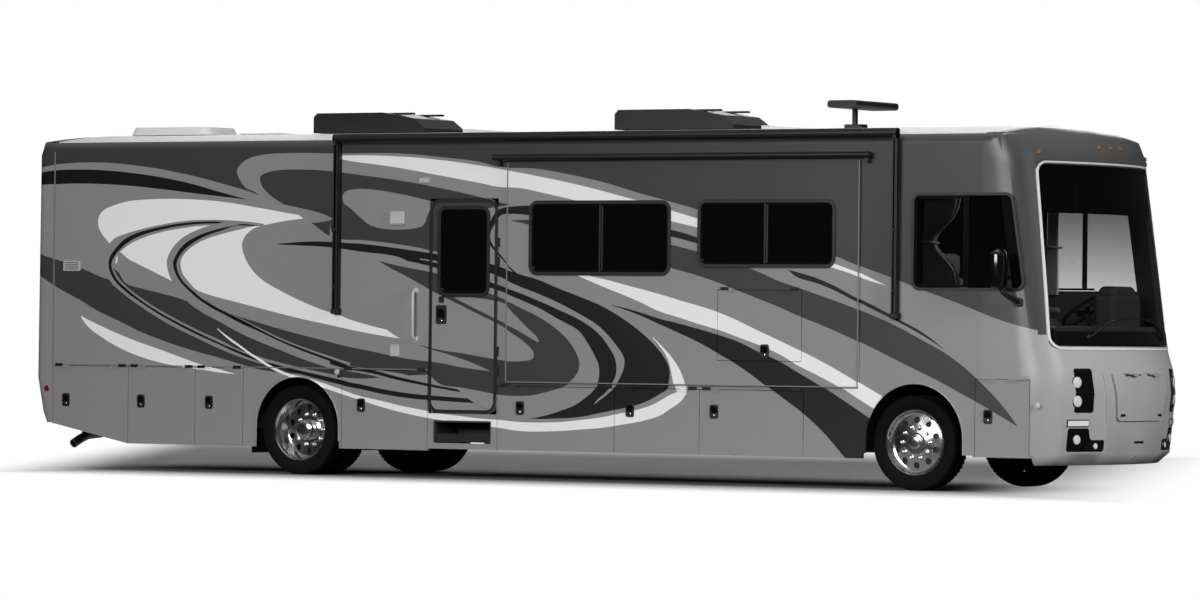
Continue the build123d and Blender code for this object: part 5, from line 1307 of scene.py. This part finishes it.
locker_latches = [("right_1", -5.402), ("right_2", -4.484), ("right_3", -3.664), ("right_4", -1.877),
                  ("right_5", -0.071), ("right_6", 1.143), ("right_7", 2.051), ("right_8", 4.903)]
for tag, x in locker_latches:
    latch(f"latch_{tag}", x, 0.680, -1, WALL_Y, f"locker_{tag}_panel")
for tag, xs in (("left_1", (-4.35, -3.55)), ("left_2", (-0.90, 0.30)), ("left_3", (1.00, 2.20))):
    for k, x in enumerate(xs):
        latch(f"latch_{tag}_{k}", x, 0.680, 1, WALL_Y, f"locker_{tag}_panel")
latch("latch_cupboard", 2.598, 1.240, -1, BAY_FACE_Y + 0.004, "cupboard_panel")

# Entry door: black edge, lock key, grab handle and its feet
door_outer = rounded_rect(-1.105, -0.341, 0.621, 2.642, 0.108)
door_inner = rounded_rect(-1.074, -0.372, 0.652, 2.611, 0.080)
ring_plate("door_edge_trim", door_outer, door_inner, -WALL_Y, -WALL_Y - 0.0022, "door_leaf", "black_trim",
           "black_trim")
disc_on("door_lock_key", (-0.968, -WALL_Y - 0.006, 1.490), (0, -1, 0), 0.015, 0.006, "door_leaf", "chrome",
        "galvanised")
HANDLE_X = -1.262
HANDLE_FEET_Z = (1.315, 1.775)
grip = [(-WALL_Y, HANDLE_FEET_Z[0]), (-1.318, 1.322), (-1.330, 1.345), (-1.332, 1.55), (-1.330, 1.745),
        (-1.318, 1.768), (-WALL_Y, HANDLE_FEET_Z[1])]
line_piece("grab_handle", [[(HANDLE_X, y, z) for y, z in grip]], 0.0135, "root", "pale_plastic",
           sides=4)
for k, z in enumerate(HANDLE_FEET_Z):
    disc_on(f"grab_foot_{k}", (HANDLE_X, -WALL_Y + 0.001, z), (0, -1, 0), 0.030, 0.010, "root",
            "pale_plastic", "lamp_lens")

# Flat fittings: name, body, side, x and z limits, corner, foot and face off the wall, finish, slot, edge
FITTINGS = [
    ("door_lock_plate", "door_leaf", -1, (-1.028, -0.908, 1.462, 1.640), 0.016, 0.0, 0.008,
     "black_trim", "black_trim", 0.003),
    ("door_lock_paddle", "door_leaf", -1, (-1.010, -0.926, 1.520, 1.606), 0.012, 0.006, 0.0125,
     "gloss_black", "black_trim", 0.004),
    ("door_dead_bolt", "door_leaf", -1, (-0.998, -0.938, 1.664, 1.724), 0.014, 0.0, 0.007,
     "black_trim", "black_trim", 0.002),
    ("porch_lamp_body", "root", -1, (-1.556, -1.392, 2.400, 2.530), 0.020, 0.0, 0.022,
     "pale_plastic", "lamp_lens", 0.005),
    ("porch_lamp_lens", "root", -1, (-1.540, -1.408, 2.412, 2.478), 0.012, 0.02, 0.034,
     "lamp_ribbed", "lamp_lens", 0.004),
    ("door_lamp", "root", -1, (-1.230, -1.115, 2.800, 2.845), 0.012, 0.0, 0.014,
     "pale_plastic", "lamp_lens", 0.003),
    ("socket_cover", "root", -1, (-1.545, -1.440, 1.150, 1.255), 0.010, 0.0, 0.010,
     "pale_plastic", "lamp_lens", 0.003),
    ("rear_vent_plate", "root", -1, (-5.450, -5.240, 1.950, 2.048), 0.010, 0.0, 0.008,
     "pale_plastic", "lamp_lens", 0.002),
    ("shore_power_lid_left", "root", 1, (-5.30, -5.12, 1.25, 1.43), 0.02, 0.0, 0.012,
     "pale_plastic", "lamp_lens", 0.003),
    ("fuel_lid_left", "root", 1, (-2.02, -1.82, 1.12, 1.32), 0.03, 0.0, 0.010,
     "body_paint", "body_paint", 0.003)]
for name, body, side, limits, corner, foot, face, finish, slot, edge in FITTINGS:
    plate(name, rounded_rect(*limits, corner), side * (WALL_Y + foot), side * (WALL_Y + face), body, finish,
          slot, round_by=edge)
boxes_piece("socket_hinge", [(-1.540, -1.445, -WALL_Y, -WALL_Y - 0.014, 1.250, 1.262)], "root",
            "pale_plastic", "lamp_lens", round_by=0.002)
boxes_piece("rear_vent_louvres", [(-5.430, -5.262, -WALL_Y - 0.006, -WALL_Y - 0.014, 1.966 + 0.021 * k,
                                   1.976 + 0.021 * k) for k in range(4)], "root", "grille_grey", "lamp_lens",
            round_by=0.001)
boxes_piece("rear_seam_trim", [(-5.576, -5.562, side * WALL_Y, side * (WALL_Y + 0.003), 1.020, 3.128)
                               for side in (-1, 1)], "root", "grille_grey", "lamp_lens")
for side, tag in SIDES:
    belt_end = -1.112 if side < 0 else -1.40
    boxes_piece(f"belt_trim_{tag}", [(-5.57, belt_end, side * WALL_Y, side * (WALL_Y + 0.004), 1.022, 1.032)],
                "root", "grille_grey", "lamp_lens", round_by=0.0015)
    disc_on(f"rear_side_lamp_{tag}", (-5.640, side * (WALL_Y - 0.003), 0.790), (0, side, 0), 0.030, 0.012,
            "root", "red_lens", "red_lens")
boxes_piece("kitchen_vent_left", [(-3.05, -2.75, WALL_Y, WALL_Y + 0.010, 1.50 + 0.03 * k, 1.515 + 0.03 * k)
                                  for k in range(8)], "root", "grille_grey", "lamp_lens", round_by=0.002)

# Rounded corners and lips of the wheel arches
ARCH_FOOT_Z = 0.330
ARCH_LAP = 0.010
for side, tag in SIDES:
    for where, x0, x1, top, mid, radius in (("front", 3.620, 4.748, 0.967, 4.150, 0.500),
                                            ("rear", -3.112, -2.127, 0.943, -2.618, 0.484)):
        hub = top - radius
        face, back = side * (WALL_Y - 0.0006), side * (WALL_Y - 0.008)
        for hand, edge in ((-1, x0), (1, x1)):
            bow = [(mid + hand * radius * math.sin(math.pi / 2 * k / 16),
                    hub + radius * math.cos(math.pi / 2 * k / 16)) for k in range(17)]
            far = edge + hand * ARCH_LAP
            corner = [(mid + hand * radius, ARCH_FOOT_Z), (far, ARCH_FOOT_Z), (far, top + ARCH_LAP),
                      (mid, top + ARCH_LAP)]
            outline = bow + corner
            if hand > 0:
                outline = outline[::-1]
            plate(f"arch_corner_{where}_{tag}_{'rear' if hand < 0 else 'fore'}", outline, back, face, "root",
                  "body_paint", "body_paint")
        turns = [math.pi * k / 32 for k in range(33)]
        bow = [(mid - radius * math.cos(a), hub + radius * math.sin(a)) for a in turns]
        lip = [(x, side * WALL_Y, z)
               for x, z in [(mid - radius, ARCH_FOOT_Z)] + bow + [(mid + radius, ARCH_FOOT_Z)]]
        line_piece(f"arch_lip_{where}_{tag}", [lip], 0.007, "root", "body_paint")

# Bay edges: trim strips up both ends and along the foot
for body, side, x0, x1 in (("bay_right", -1, -0.229, 3.579), ("bay_left", 1, -1.300, 2.600)):
    face = side * BAY_FACE_Y
    rows = [(x0 + 0.002, x0 + 0.014, face, face + side * 0.003, 0.93, 2.99),
            (x1 - 0.014, x1 - 0.002, face, face + side * 0.003, 0.93, 2.99),
            (x0 + 0.002, x1 - 0.002, face, face + side * 0.003, 0.919, 0.929)]
    boxes_piece(f"{body}_edge_trim", rows, body, "grille_grey", "lamp_lens")

# Awning: arm covers in two layers, feet, brackets, end caps, knobs and the seams of the roll
ARM_X = (-2.160, 3.960)
ROLL_ENDS_X = (-2.145, 3.945)
ROLL_Y = -WALL_Y - 0.052
ROLL_Z = 3.226
ROLL_SEAM_R = 0.0445
# name, offsets of each box from the arm in x, y limits, z limits, finish, edge
ARM_LAYERS = [
    ("arm_covers", ((-0.030, 0.030),), (-1.286, -1.298), (1.560, 3.18), "black_trim", 0.004),
    ("arm_channels", ((-0.026, -0.014), (0.014, 0.026)), (-1.298, -1.352), (1.600, 3.17), "black_trim",
     0.003),
    ("feet", ((-0.045, 0.045),), (-WALL_Y, -1.345), (1.548, 1.600), "cast_dark", 0.008),
    ("brackets", ((-0.020, 0.020),), (-WALL_Y, -1.372), (3.176, 3.266), "black_trim", 0.010)]
for name, strips, (y0, y1), (z0, z1), finish, edge in ARM_LAYERS:
    boxes_piece(f"awning_{name}", [(x + a, x + b, y0, y1, z0, z1) for x in ARM_X for a, b in strips], "root",
                finish, "black_trim", round_by=edge)
for k, x in enumerate(ROLL_ENDS_X):
    disc_on(f"awning_end_{k}", (x, ROLL_Y, ROLL_Z), (-1 if k == 0 else 1, 0, 0), 0.043, 0.034, "root",
            "gloss_black", "black_trim")
    for i, z in enumerate((1.80, 2.35)):
        disc_on(f"awning_knob_{k}_{i}", (ARM_X[k], -1.350, z), (0, -1, 0), 0.014, 0.010, "root", "cast_dark",
                "black_trim")
seams = [(ROLL_Y + ROLL_SEAM_R * math.cos(a), ROLL_Z + ROLL_SEAM_R * math.sin(a)) for a in (2.3, 3.6, 4.6)]
line_piece("awning_roll_seams", [[(-2.10, y, z), (3.90, y, z)] for y, z in seams], 0.0025, "root", "rubber")

# ---------------------------------------------------------------- mirrors
MIRROR_X = 5.128
MIRROR_Y = 1.4375
MIRROR_Z = 1.994
MIRROR_DEPTH = 0.086
for side, tag in SIDES:
    rows = [(0.0, 0.80), (0.10, 0.93), (0.3, 1.0), (0.7, 1.0), (1.0, 0.94)]
    outline = rounded_rect(-0.092, 0.092, -0.178, 0.178, 0.050, steps=5)
    verts, faces = [], []
    n = len(outline)
    for share, size in rows:
        for a, b in outline:
            verts.append((MIRROR_X - MIRROR_DEPTH * share, side * (MIRROR_Y + a * size), MIRROR_Z + b * size))
    for i in range(len(rows) - 1):
        for k in range(n):
            j = (k + 1) % n
            faces.append((i * n + k, i * n + j, (i + 1) * n + j, (i + 1) * n + k))
    faces += [tuple(range(n - 1, -1, -1)), tuple((len(rows) - 1) * n + k for k in range(n))]
    head = mesh_piece(f"mirror_head_{tag}", verts, faces, "root", "gloss_black", "black_trim", smooth=50)
    if side < 0:
        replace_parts(head, "door_mirrors")
    for name, z0, z1 in (("main", -0.045, 0.160), ("wide", -0.160, -0.060)):
        glass = [(5.0405, side * (MIRROR_Y + a), MIRROR_Z + b)
                 for a, b in rounded_rect(-0.074, 0.074, z0, z1, 0.025)]
        mesh_piece(f"mirror_{name}_glass_{tag}", glass, [tuple(range(len(glass)))], "root", "chrome",
                   "lamp_lens")
    arm = [(5.205, 1.283, 1.700), (5.190, 1.330, 1.720), (5.150, 1.375, 1.752), (5.105, 1.400, 1.790),
           (5.090, 1.405, 1.830)]
    line_piece(f"mirror_arm_{tag}", [[(x, side * y, z) for x, y, z in arm]], 0.024, "root", "black_trim",
               sides=5)
    plate(f"mirror_foot_{tag}", rounded_rect(5.150, 5.236, 1.668, 1.745, 0.020), side * 1.281,
          side * 1.300, "root", "black_trim", "black_trim", round_by=0.006)

# ---------------------------------------------------------------- roof
for k, (x0, top) in enumerate(((-3.115, 3.515), (0.359, 3.510))):
    x_mid = x0 + 0.66
    boxes_piece(f"air_unit_louvres_{k}", [
        (x0 + 0.30 + 0.05 * i, x0 + 0.325 + 0.05 * i, side * 0.335, side * 0.349, 3.375, top - 0.045)
        for i in range(14) for side in (-1, 1)], "root", "flat_black", "black_trim", round_by=0.003)
    line_piece(f"air_unit_fan_guard_{k}", [
        [(x_mid + r * math.cos(2 * math.pi * i / 40), r * math.sin(2 * math.pi * i / 40), top - 0.003)
         for i in range(41)] for r in (0.05, 0.09, 0.13, 0.17, 0.21)], 0.003, "root", "cast_dark")
    boxes_piece(f"air_unit_ribs_{k}", [
        (x0 + 0.25, x0 + 1.12, y - 0.010, y + 0.010, top - 0.020, top - 0.001)
        for y in (-0.27, -0.24, 0.24, 0.27)],
        "root", "black_trim", "black_trim", round_by=0.003)
boxes_piece("roof_seams", [(x, x + 0.05, -0.9, 0.9, 3.222, 3.3225) for x in (-1.0, 2.3)], "root",
            "white_membrane", "roof_white")

# ---------------------------------------------------------------- tail
for side, tag in SIDES:
    y0, y1 = sorted((side * 0.966, side * 1.114))
    for k, (z0, z1, finish) in enumerate(((1.156, 1.300, "lamp_ribbed"), (1.306, 1.445, "amber_lens"),
                                          (1.451, 1.744, "red_lens"))):
        boxes_piece(f"tail_lens_{tag}_{k}", [(-5.8345, -5.826, y0, y1, z0, z1)], "root", finish, "red_lens",
                    round_by=0.003)
boxes_piece("plate_recess", [(-5.795, -5.770, -0.20, 0.20, 0.580, 0.700)], "root", "black_trim", "black_trim",
            round_by=0.004)
boxes_piece("plate_blank", [(-5.802, -5.794, -0.155, 0.155, 0.592, 0.690)], "root", "pale_plastic",
            "lamp_lens", round_by=0.002)

# ---------------------------------------------------------------- exhaust tip, bore, hanger and clamp
line_piece("exhaust_tip", [[(-5.330, -0.800, 0.345), (-5.332, -1.020, 0.330), (-5.340, -1.120, 0.296),
                            (-5.350, -1.225, 0.246)]], 0.044, "root", "chrome", sides=6)
disc_on("exhaust_bore", (-5.350, -1.225, 0.246), (-0.09, -0.9, -0.43), 0.036, 0.0015, "root", "flat_black",
        "galvanised")
line_piece("exhaust_hanger", [[(-5.335, -1.09, 0.345), (-5.335, -1.09, 0.420)]], 0.010, "root", "cast_dark")
turns = [2 * math.pi * k / 24 for k in range(25)]
line_piece("exhaust_clamp", [[(-5.335, -0.70 + 0.038 * math.cos(a), 0.345 + 0.038 * math.sin(a))
                              for a in turns]], 0.006, "root", "chrome")

# ---------------------------------------------------------------- cab inside
PAD_VOXEL = 0.011
PAD_FRAMES = 14
PAD_PRESSURE = 3.0


def fill_out(pads):
    """Swells closed covers with air until they look stuffed, and keeps the result as their mesh."""
    for o in pads:
        skin = o.modifiers.new("skin", "REMESH")
        skin.mode = "VOXEL"
        skin.voxel_size = PAD_VOXEL
        cloth = o.modifiers.new("cloth", "CLOTH")
        cloth.settings.quality = 5
        cloth.settings.mass = 0.3
        cloth.settings.tension_stiffness = 30.0
        cloth.settings.compression_stiffness = 12.0
        cloth.settings.bending_stiffness = 0.6
        cloth.settings.use_pressure = True
        cloth.settings.uniform_pressure_force = PAD_PRESSURE
        cloth.settings.effector_weights.gravity = 0.0
        cloth.point_cache.frame_start = 1
        cloth.point_cache.frame_end = PAD_FRAMES
    for frame in range(1, PAD_FRAMES + 1):
        scene.frame_set(frame)
    graph = bpy.context.evaluated_depsgraph_get()
    done = [(o, bpy.data.meshes.new_from_object(o.evaluated_get(graph))) for o in pads]
    for o, data in done:
        o.modifiers.clear()
        o.data = data
        for p in data.polygons:
            p.use_smooth = True
    scene.frame_set(1)


# Padded parts of a seat: name, blocks (limits in x, in y off the seat's middle, in z), edge, steps, fill,
# and whether air swells it
SEAT_PADS = [
    ("cushion", [(4.085, 4.600, -0.235, 0.235, 1.400, 1.535)], 0.050, 5, 0.7, True),
    ("back", [(4.070, 4.215, -0.235, 0.235, 1.500, 1.930)], 0.050, 5, 0.7, True),
    ("head", [(4.080, 4.190, -0.135, 0.135, 1.945, 2.145)], 0.045, 5, 0.8, True),
    ("arms", [(4.150, 4.480, d - 0.028, d + 0.028, 1.620, 1.675) for d in (-0.265, 0.265)], 0.022, 4, 0.7,
     False)]
SEAT_Y = 0.62
pads = []
for side, tag in SIDES:
    y = side * SEAT_Y
    for name, blocks, edge, steps, fill, swells in SEAT_PADS:
        rows = [(x0, x1, y + a, y + b, z0, z1) for x0, x1, a, b, z0, z1 in blocks]
        made = boxes_piece(f"seat_{name}_{tag}", rows, "root", "seat_leather", "seat_cloth", round_by=edge,
                           steps=steps)
        if swells:
            pads.append(made)
        if side < 0 and name == "cushion":
            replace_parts(made, "cab_seats")
    boxes_piece(f"seat_base_{tag}", [(4.160, 4.520, y - 0.17, y + 0.17, 1.010, 1.060),
                                     (4.220, 4.460, y - 0.12, y + 0.12, 1.060, 1.360),
                                     (4.110, 4.580, y - 0.20, y + 0.20, 1.355, 1.402)], "root",
                "dash_plastic", "dash_plastic", round_by=0.010)
    line_piece(f"seat_piping_{tag}", [[(4.595, y - 0.19, 1.468), (4.603, y - 0.15, 1.468),
                                       (4.603, y + 0.15, 1.468), (4.595, y + 0.19, 1.468)]], 0.004, "root",
               "dash_plastic")

fill_out(pads)

CURTAIN_FLAT = (0.90, 0.94)
CURTAIN_FOLDS = 9
for side, tag in SIDES:
    verts, faces = [], []
    rows, per = 60, 8
    columns = CURTAIN_FOLDS * per
    for i in range(rows + 1):
        s = i / rows
        z = 2.735 - CURTAIN_FLAT[1] * s
        waist = math.exp(-((s - 0.52) / 0.20) ** 2)
        width = 0.37 - 0.25 * waist if side < 0 else 0.115
        depth = math.sqrt(CURTAIN_FLAT[0] ** 2 - width ** 2) / (4 * CURTAIN_FOLDS)
        for k in range(columns + 1):
            t = k / columns
            phase = t * CURTAIN_FOLDS * 2 * math.pi
            wave = math.asin(math.sin(phase)) * 2 / math.pi * 0.8 + math.sin(phase) * 0.2
            x = 4.185 + width * t + 0.004 * math.sin(5 * s + 3 * t)
            verts.append((x, side * (1.192 + depth * wave), z))
    for i in range(rows):
        for k in range(columns):
            p = i * (columns + 1) + k
            faces.append((p, p + 1, p + columns + 2, p + columns + 1))
    made = mesh_piece(f"curtain_{tag}", verts, faces, "root", "curtain_cloth", "curtain_cloth", smooth=60)
    line_piece(f"curtain_rail_{tag}", [[(4.17, side * 1.192, 2.742), (4.62, side * 1.192, 2.742)]], 0.008,
               "root", "pale_plastic")
    tie = [(4.180, side * 1.155, 2.25), (4.310, side * 1.150, 2.235), (4.315, side * 1.228, 2.235),
           (4.180, side * 1.228, 2.25)]
    line_piece(f"curtain_tie_{tag}", [tie], 0.010, "root", "curtain_cloth", closed=True)
    if side < 0:
        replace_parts(made, "cab_curtains")

# Steering wheel: padded rim, boss and three spokes drawn over the plain one
WHEEL_R = 0.214
centre = Vector((4.860, 0.620, 1.640))
lean = math.radians(38.0)
column = Vector((-math.sin(lean), 0.0, math.cos(lean)))
across = Vector((0.0, 1.0, 0.0))
ahead = column.cross(across)
turns = [2 * math.pi * k / 48 for k in range(48)]
rim_line = [centre + across * (WHEEL_R * math.cos(a)) + ahead * (WHEEL_R * math.sin(a)) for a in turns]
made = line_piece("steering_rim_grip", [rim_line], 0.0165, "steering_rim", "rubber",
                  closed=True, sides=5)
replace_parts(made, "steering_wheel")
disc_on("steering_boss", centre - column * 0.018, column, 0.072, 0.040, "steering_rim", "dash_plastic",
        "dash_plastic")
for k, a in enumerate((0.0, math.pi, -math.pi / 2)):
    way = across * math.cos(a) + ahead * math.sin(a)
    spoke = [centre - column * 0.006 + way * 0.05, centre - column * 0.004 + way * 0.206]
    line_piece(f"steering_spoke_{k}", [spoke], 0.013, "steering_rim", "dash_plastic")
boxes_piece("dash_binnacle", [(5.090, 5.330, 0.34, 0.90, 1.380, 1.800),
                              (5.110, 5.310, 0.40, 0.84, 1.700, 1.870)], "root", "dash_plastic",
            "dash_plastic", round_by=0.060, steps=5)
boxes_piece("dash_gauges", [(5.084, 5.094, 0.44, 0.80, 1.560, 1.740)], "root", "gloss_black", "dash_plastic",
            round_by=0.004)
boxes_piece("dash_top", [(5.060, 5.440, -1.00, 1.00, 1.360, 1.500)], "root", "dash_plastic", "dash_plastic",
            round_by=0.040, steps=4)
boxes_piece("dash_vents", [(5.10, 5.16, y - 0.08, y + 0.08, 1.370, 1.385) for y in (-0.9, -0.4, 0.0, 0.95)],
            "root", "black_trim", "black_trim", round_by=0.004)

# ---------------------------------------------------------------- lights and surroundings
world = bpy.data.worlds.new("world")
scene.world = world
world.use_nodes = True
wt = Tree(world.node_tree)
for n in list(world.node_tree.nodes):
    world.node_tree.nodes.remove(n)
path = wt.node("ShaderNodeLightPath")
plain = wt.node("ShaderNodeBackground")
plain.inputs[0].default_value = (1.0, 1.0, 1.0, 1.0)
plain.inputs[1].default_value = 1.0
sky = wt.node("ShaderNodeBackground")
geometry = wt.node("ShaderNodeTexCoord")
split = wt.node("ShaderNodeSeparateXYZ")
wt.link(geometry.outputs["Generated"], split.inputs[0])
ramp = wt.node("ShaderNodeValToRGB")
ramp.color_ramp.elements[0].position = 0.62
ramp.color_ramp.elements[0].color = (0.03, 0.03, 0.03, 1.0)
ramp.color_ramp.elements[1].position = 0.95
ramp.color_ramp.elements[1].color = (0.6, 0.6, 0.6, 1.0)
wt.link(wt.math("MULTIPLY_ADD", split.outputs[2], 0.5, 0.5), ramp.inputs[0])
wt.link(ramp.outputs[0], sky.inputs[0])
sky.inputs[1].default_value = 0.75
pick = wt.node("ShaderNodeMixShader")
seen = wt.math("MAXIMUM", path.outputs["Is Camera Ray"], path.outputs["Is Transmission Ray"])
wt.link(seen, pick.inputs[0])
wt.link(sky.outputs[0], pick.inputs[1])
wt.link(plain.outputs[0], pick.inputs[2])
out = wt.node("ShaderNodeOutputWorld")
wt.link(pick.outputs[0], out.inputs[0])


def area_light(name, place, target, size_x, size_y, power):
    data = bpy.data.lights.new(name, "AREA")
    data.shape = "RECTANGLE"
    data.size = size_x
    data.size_y = size_y
    data.energy = power
    o = bpy.data.objects.new(name, data)
    o.location = place
    o.rotation_mode = "QUATERNION"
    o.rotation_quaternion = (Vector(target) - Vector(place)).to_track_quat("-Z", "Y")
    scene.collection.objects.link(o)
    return o


area_light("side_panel_light", (2.0, -30.0, 8.5), (0.0, 0.0, 1.4), 22.0, 7.0, 6200.0)
area_light("far_side_light", (-12.0, 22.0, 9.0), (0.0, 0.0, 1.6), 16.0, 5.0, 1300.0)
front_light = area_light("front_light", (18.0, -3.0, 6.0), (5.5, 0.0, 1.4), 7.0, 5.0, 330.0)
front_light.data.spread = math.radians(60.0)
front_light.visible_glossy = False
roof_light = area_light("roof_light", (0.0, -0.6, 8.0), (0.0, 0.0, 0.0), 12.0, 2.4, 60.0)
roof_light.data.spread = math.radians(50.0)
area_light("cab_light", (4.95, -0.85, 2.86), (4.3, -1.15, 2.2), 0.3, 0.2, 16.0)

floor_half = 60.0
floor_data = bpy.data.meshes.new("floor")
floor_data.from_pydata([(-floor_half, -floor_half, -0.001), (floor_half, -floor_half, -0.001),
                        (floor_half, floor_half, -0.001), (-floor_half, floor_half, -0.001)], [],
                       [(0, 1, 2, 3)])
floor = bpy.data.objects.new("floor", floor_data)
scene.collection.objects.link(floor)
# Near the vehicle the floor is a grey patch (0.30) that fades to clear, where the white backdrop shows: a
# painted shadow round the vehicle, on top of the real shadows the patch catches
floor_mat = bpy.data.materials.new("floor_painted_shadow")
floor_mat.use_nodes = True
ft = Tree(floor_mat.node_tree)
floor_mat.node_tree.nodes.remove(floor_mat.node_tree.nodes["Principled BSDF"])
shadow_patch = ft.node("ShaderNodeBsdfDiffuse")
shadow_patch.inputs[0].default_value = (0.30, 0.30, 0.30, 1.0)
clear = ft.node("ShaderNodeBsdfTransparent")
_, fx, fy, _ = ft.coords()
# Fade of the painted shadow patch: past the front and rear ends along the camera's sight, from 8 m to 17 m
# behind and from 1.1 m to 3.5 m in front
far_right = ft.math("MULTIPLY_ADD", fy, 0.45, fx)
far_left = ft.math("MULTIPLY", ft.math("MULTIPLY_ADD", fy, 0.60, fx), -1.0)
away = ft.math("MULTIPLY_ADD", far_right, 1 / 2.4, -3.8 / 2.4)
away = ft.math("MAXIMUM", away, ft.math("MULTIPLY_ADD", far_left, 1 / 1.6, -5.6 / 1.6))
away = ft.math("MAXIMUM", away, ft.math("MULTIPLY_ADD", fy, 1 / 9.0, -8.0 / 9.0))
away = ft.math("MAXIMUM", away, ft.math("MULTIPLY_ADD", fy, -1 / 2.4, -1.1 / 2.4))
ramp = ft.node("ShaderNodeValToRGB")
ramp.color_ramp.interpolation = "EASE"
ramp.color_ramp.elements[0].position = 0.0
ramp.color_ramp.elements[0].color = (0.0, 0.0, 0.0, 1.0)
ramp.color_ramp.elements[1].position = 1.0
ramp.color_ramp.elements[1].color = (1.0, 1.0, 1.0, 1.0)
ft.link(away, ramp.inputs[0])
mixed = ft.node("ShaderNodeMixShader")
ft.link(ramp.outputs[0], mixed.inputs[0])
ft.link(shadow_patch.outputs[0], mixed.inputs[1])
ft.link(clear.outputs[0], mixed.inputs[2])
ft.link(mixed.outputs[0], floor_mat.node_tree.nodes["Material Output"].inputs[0])
floor_data.materials.append(floor_mat)
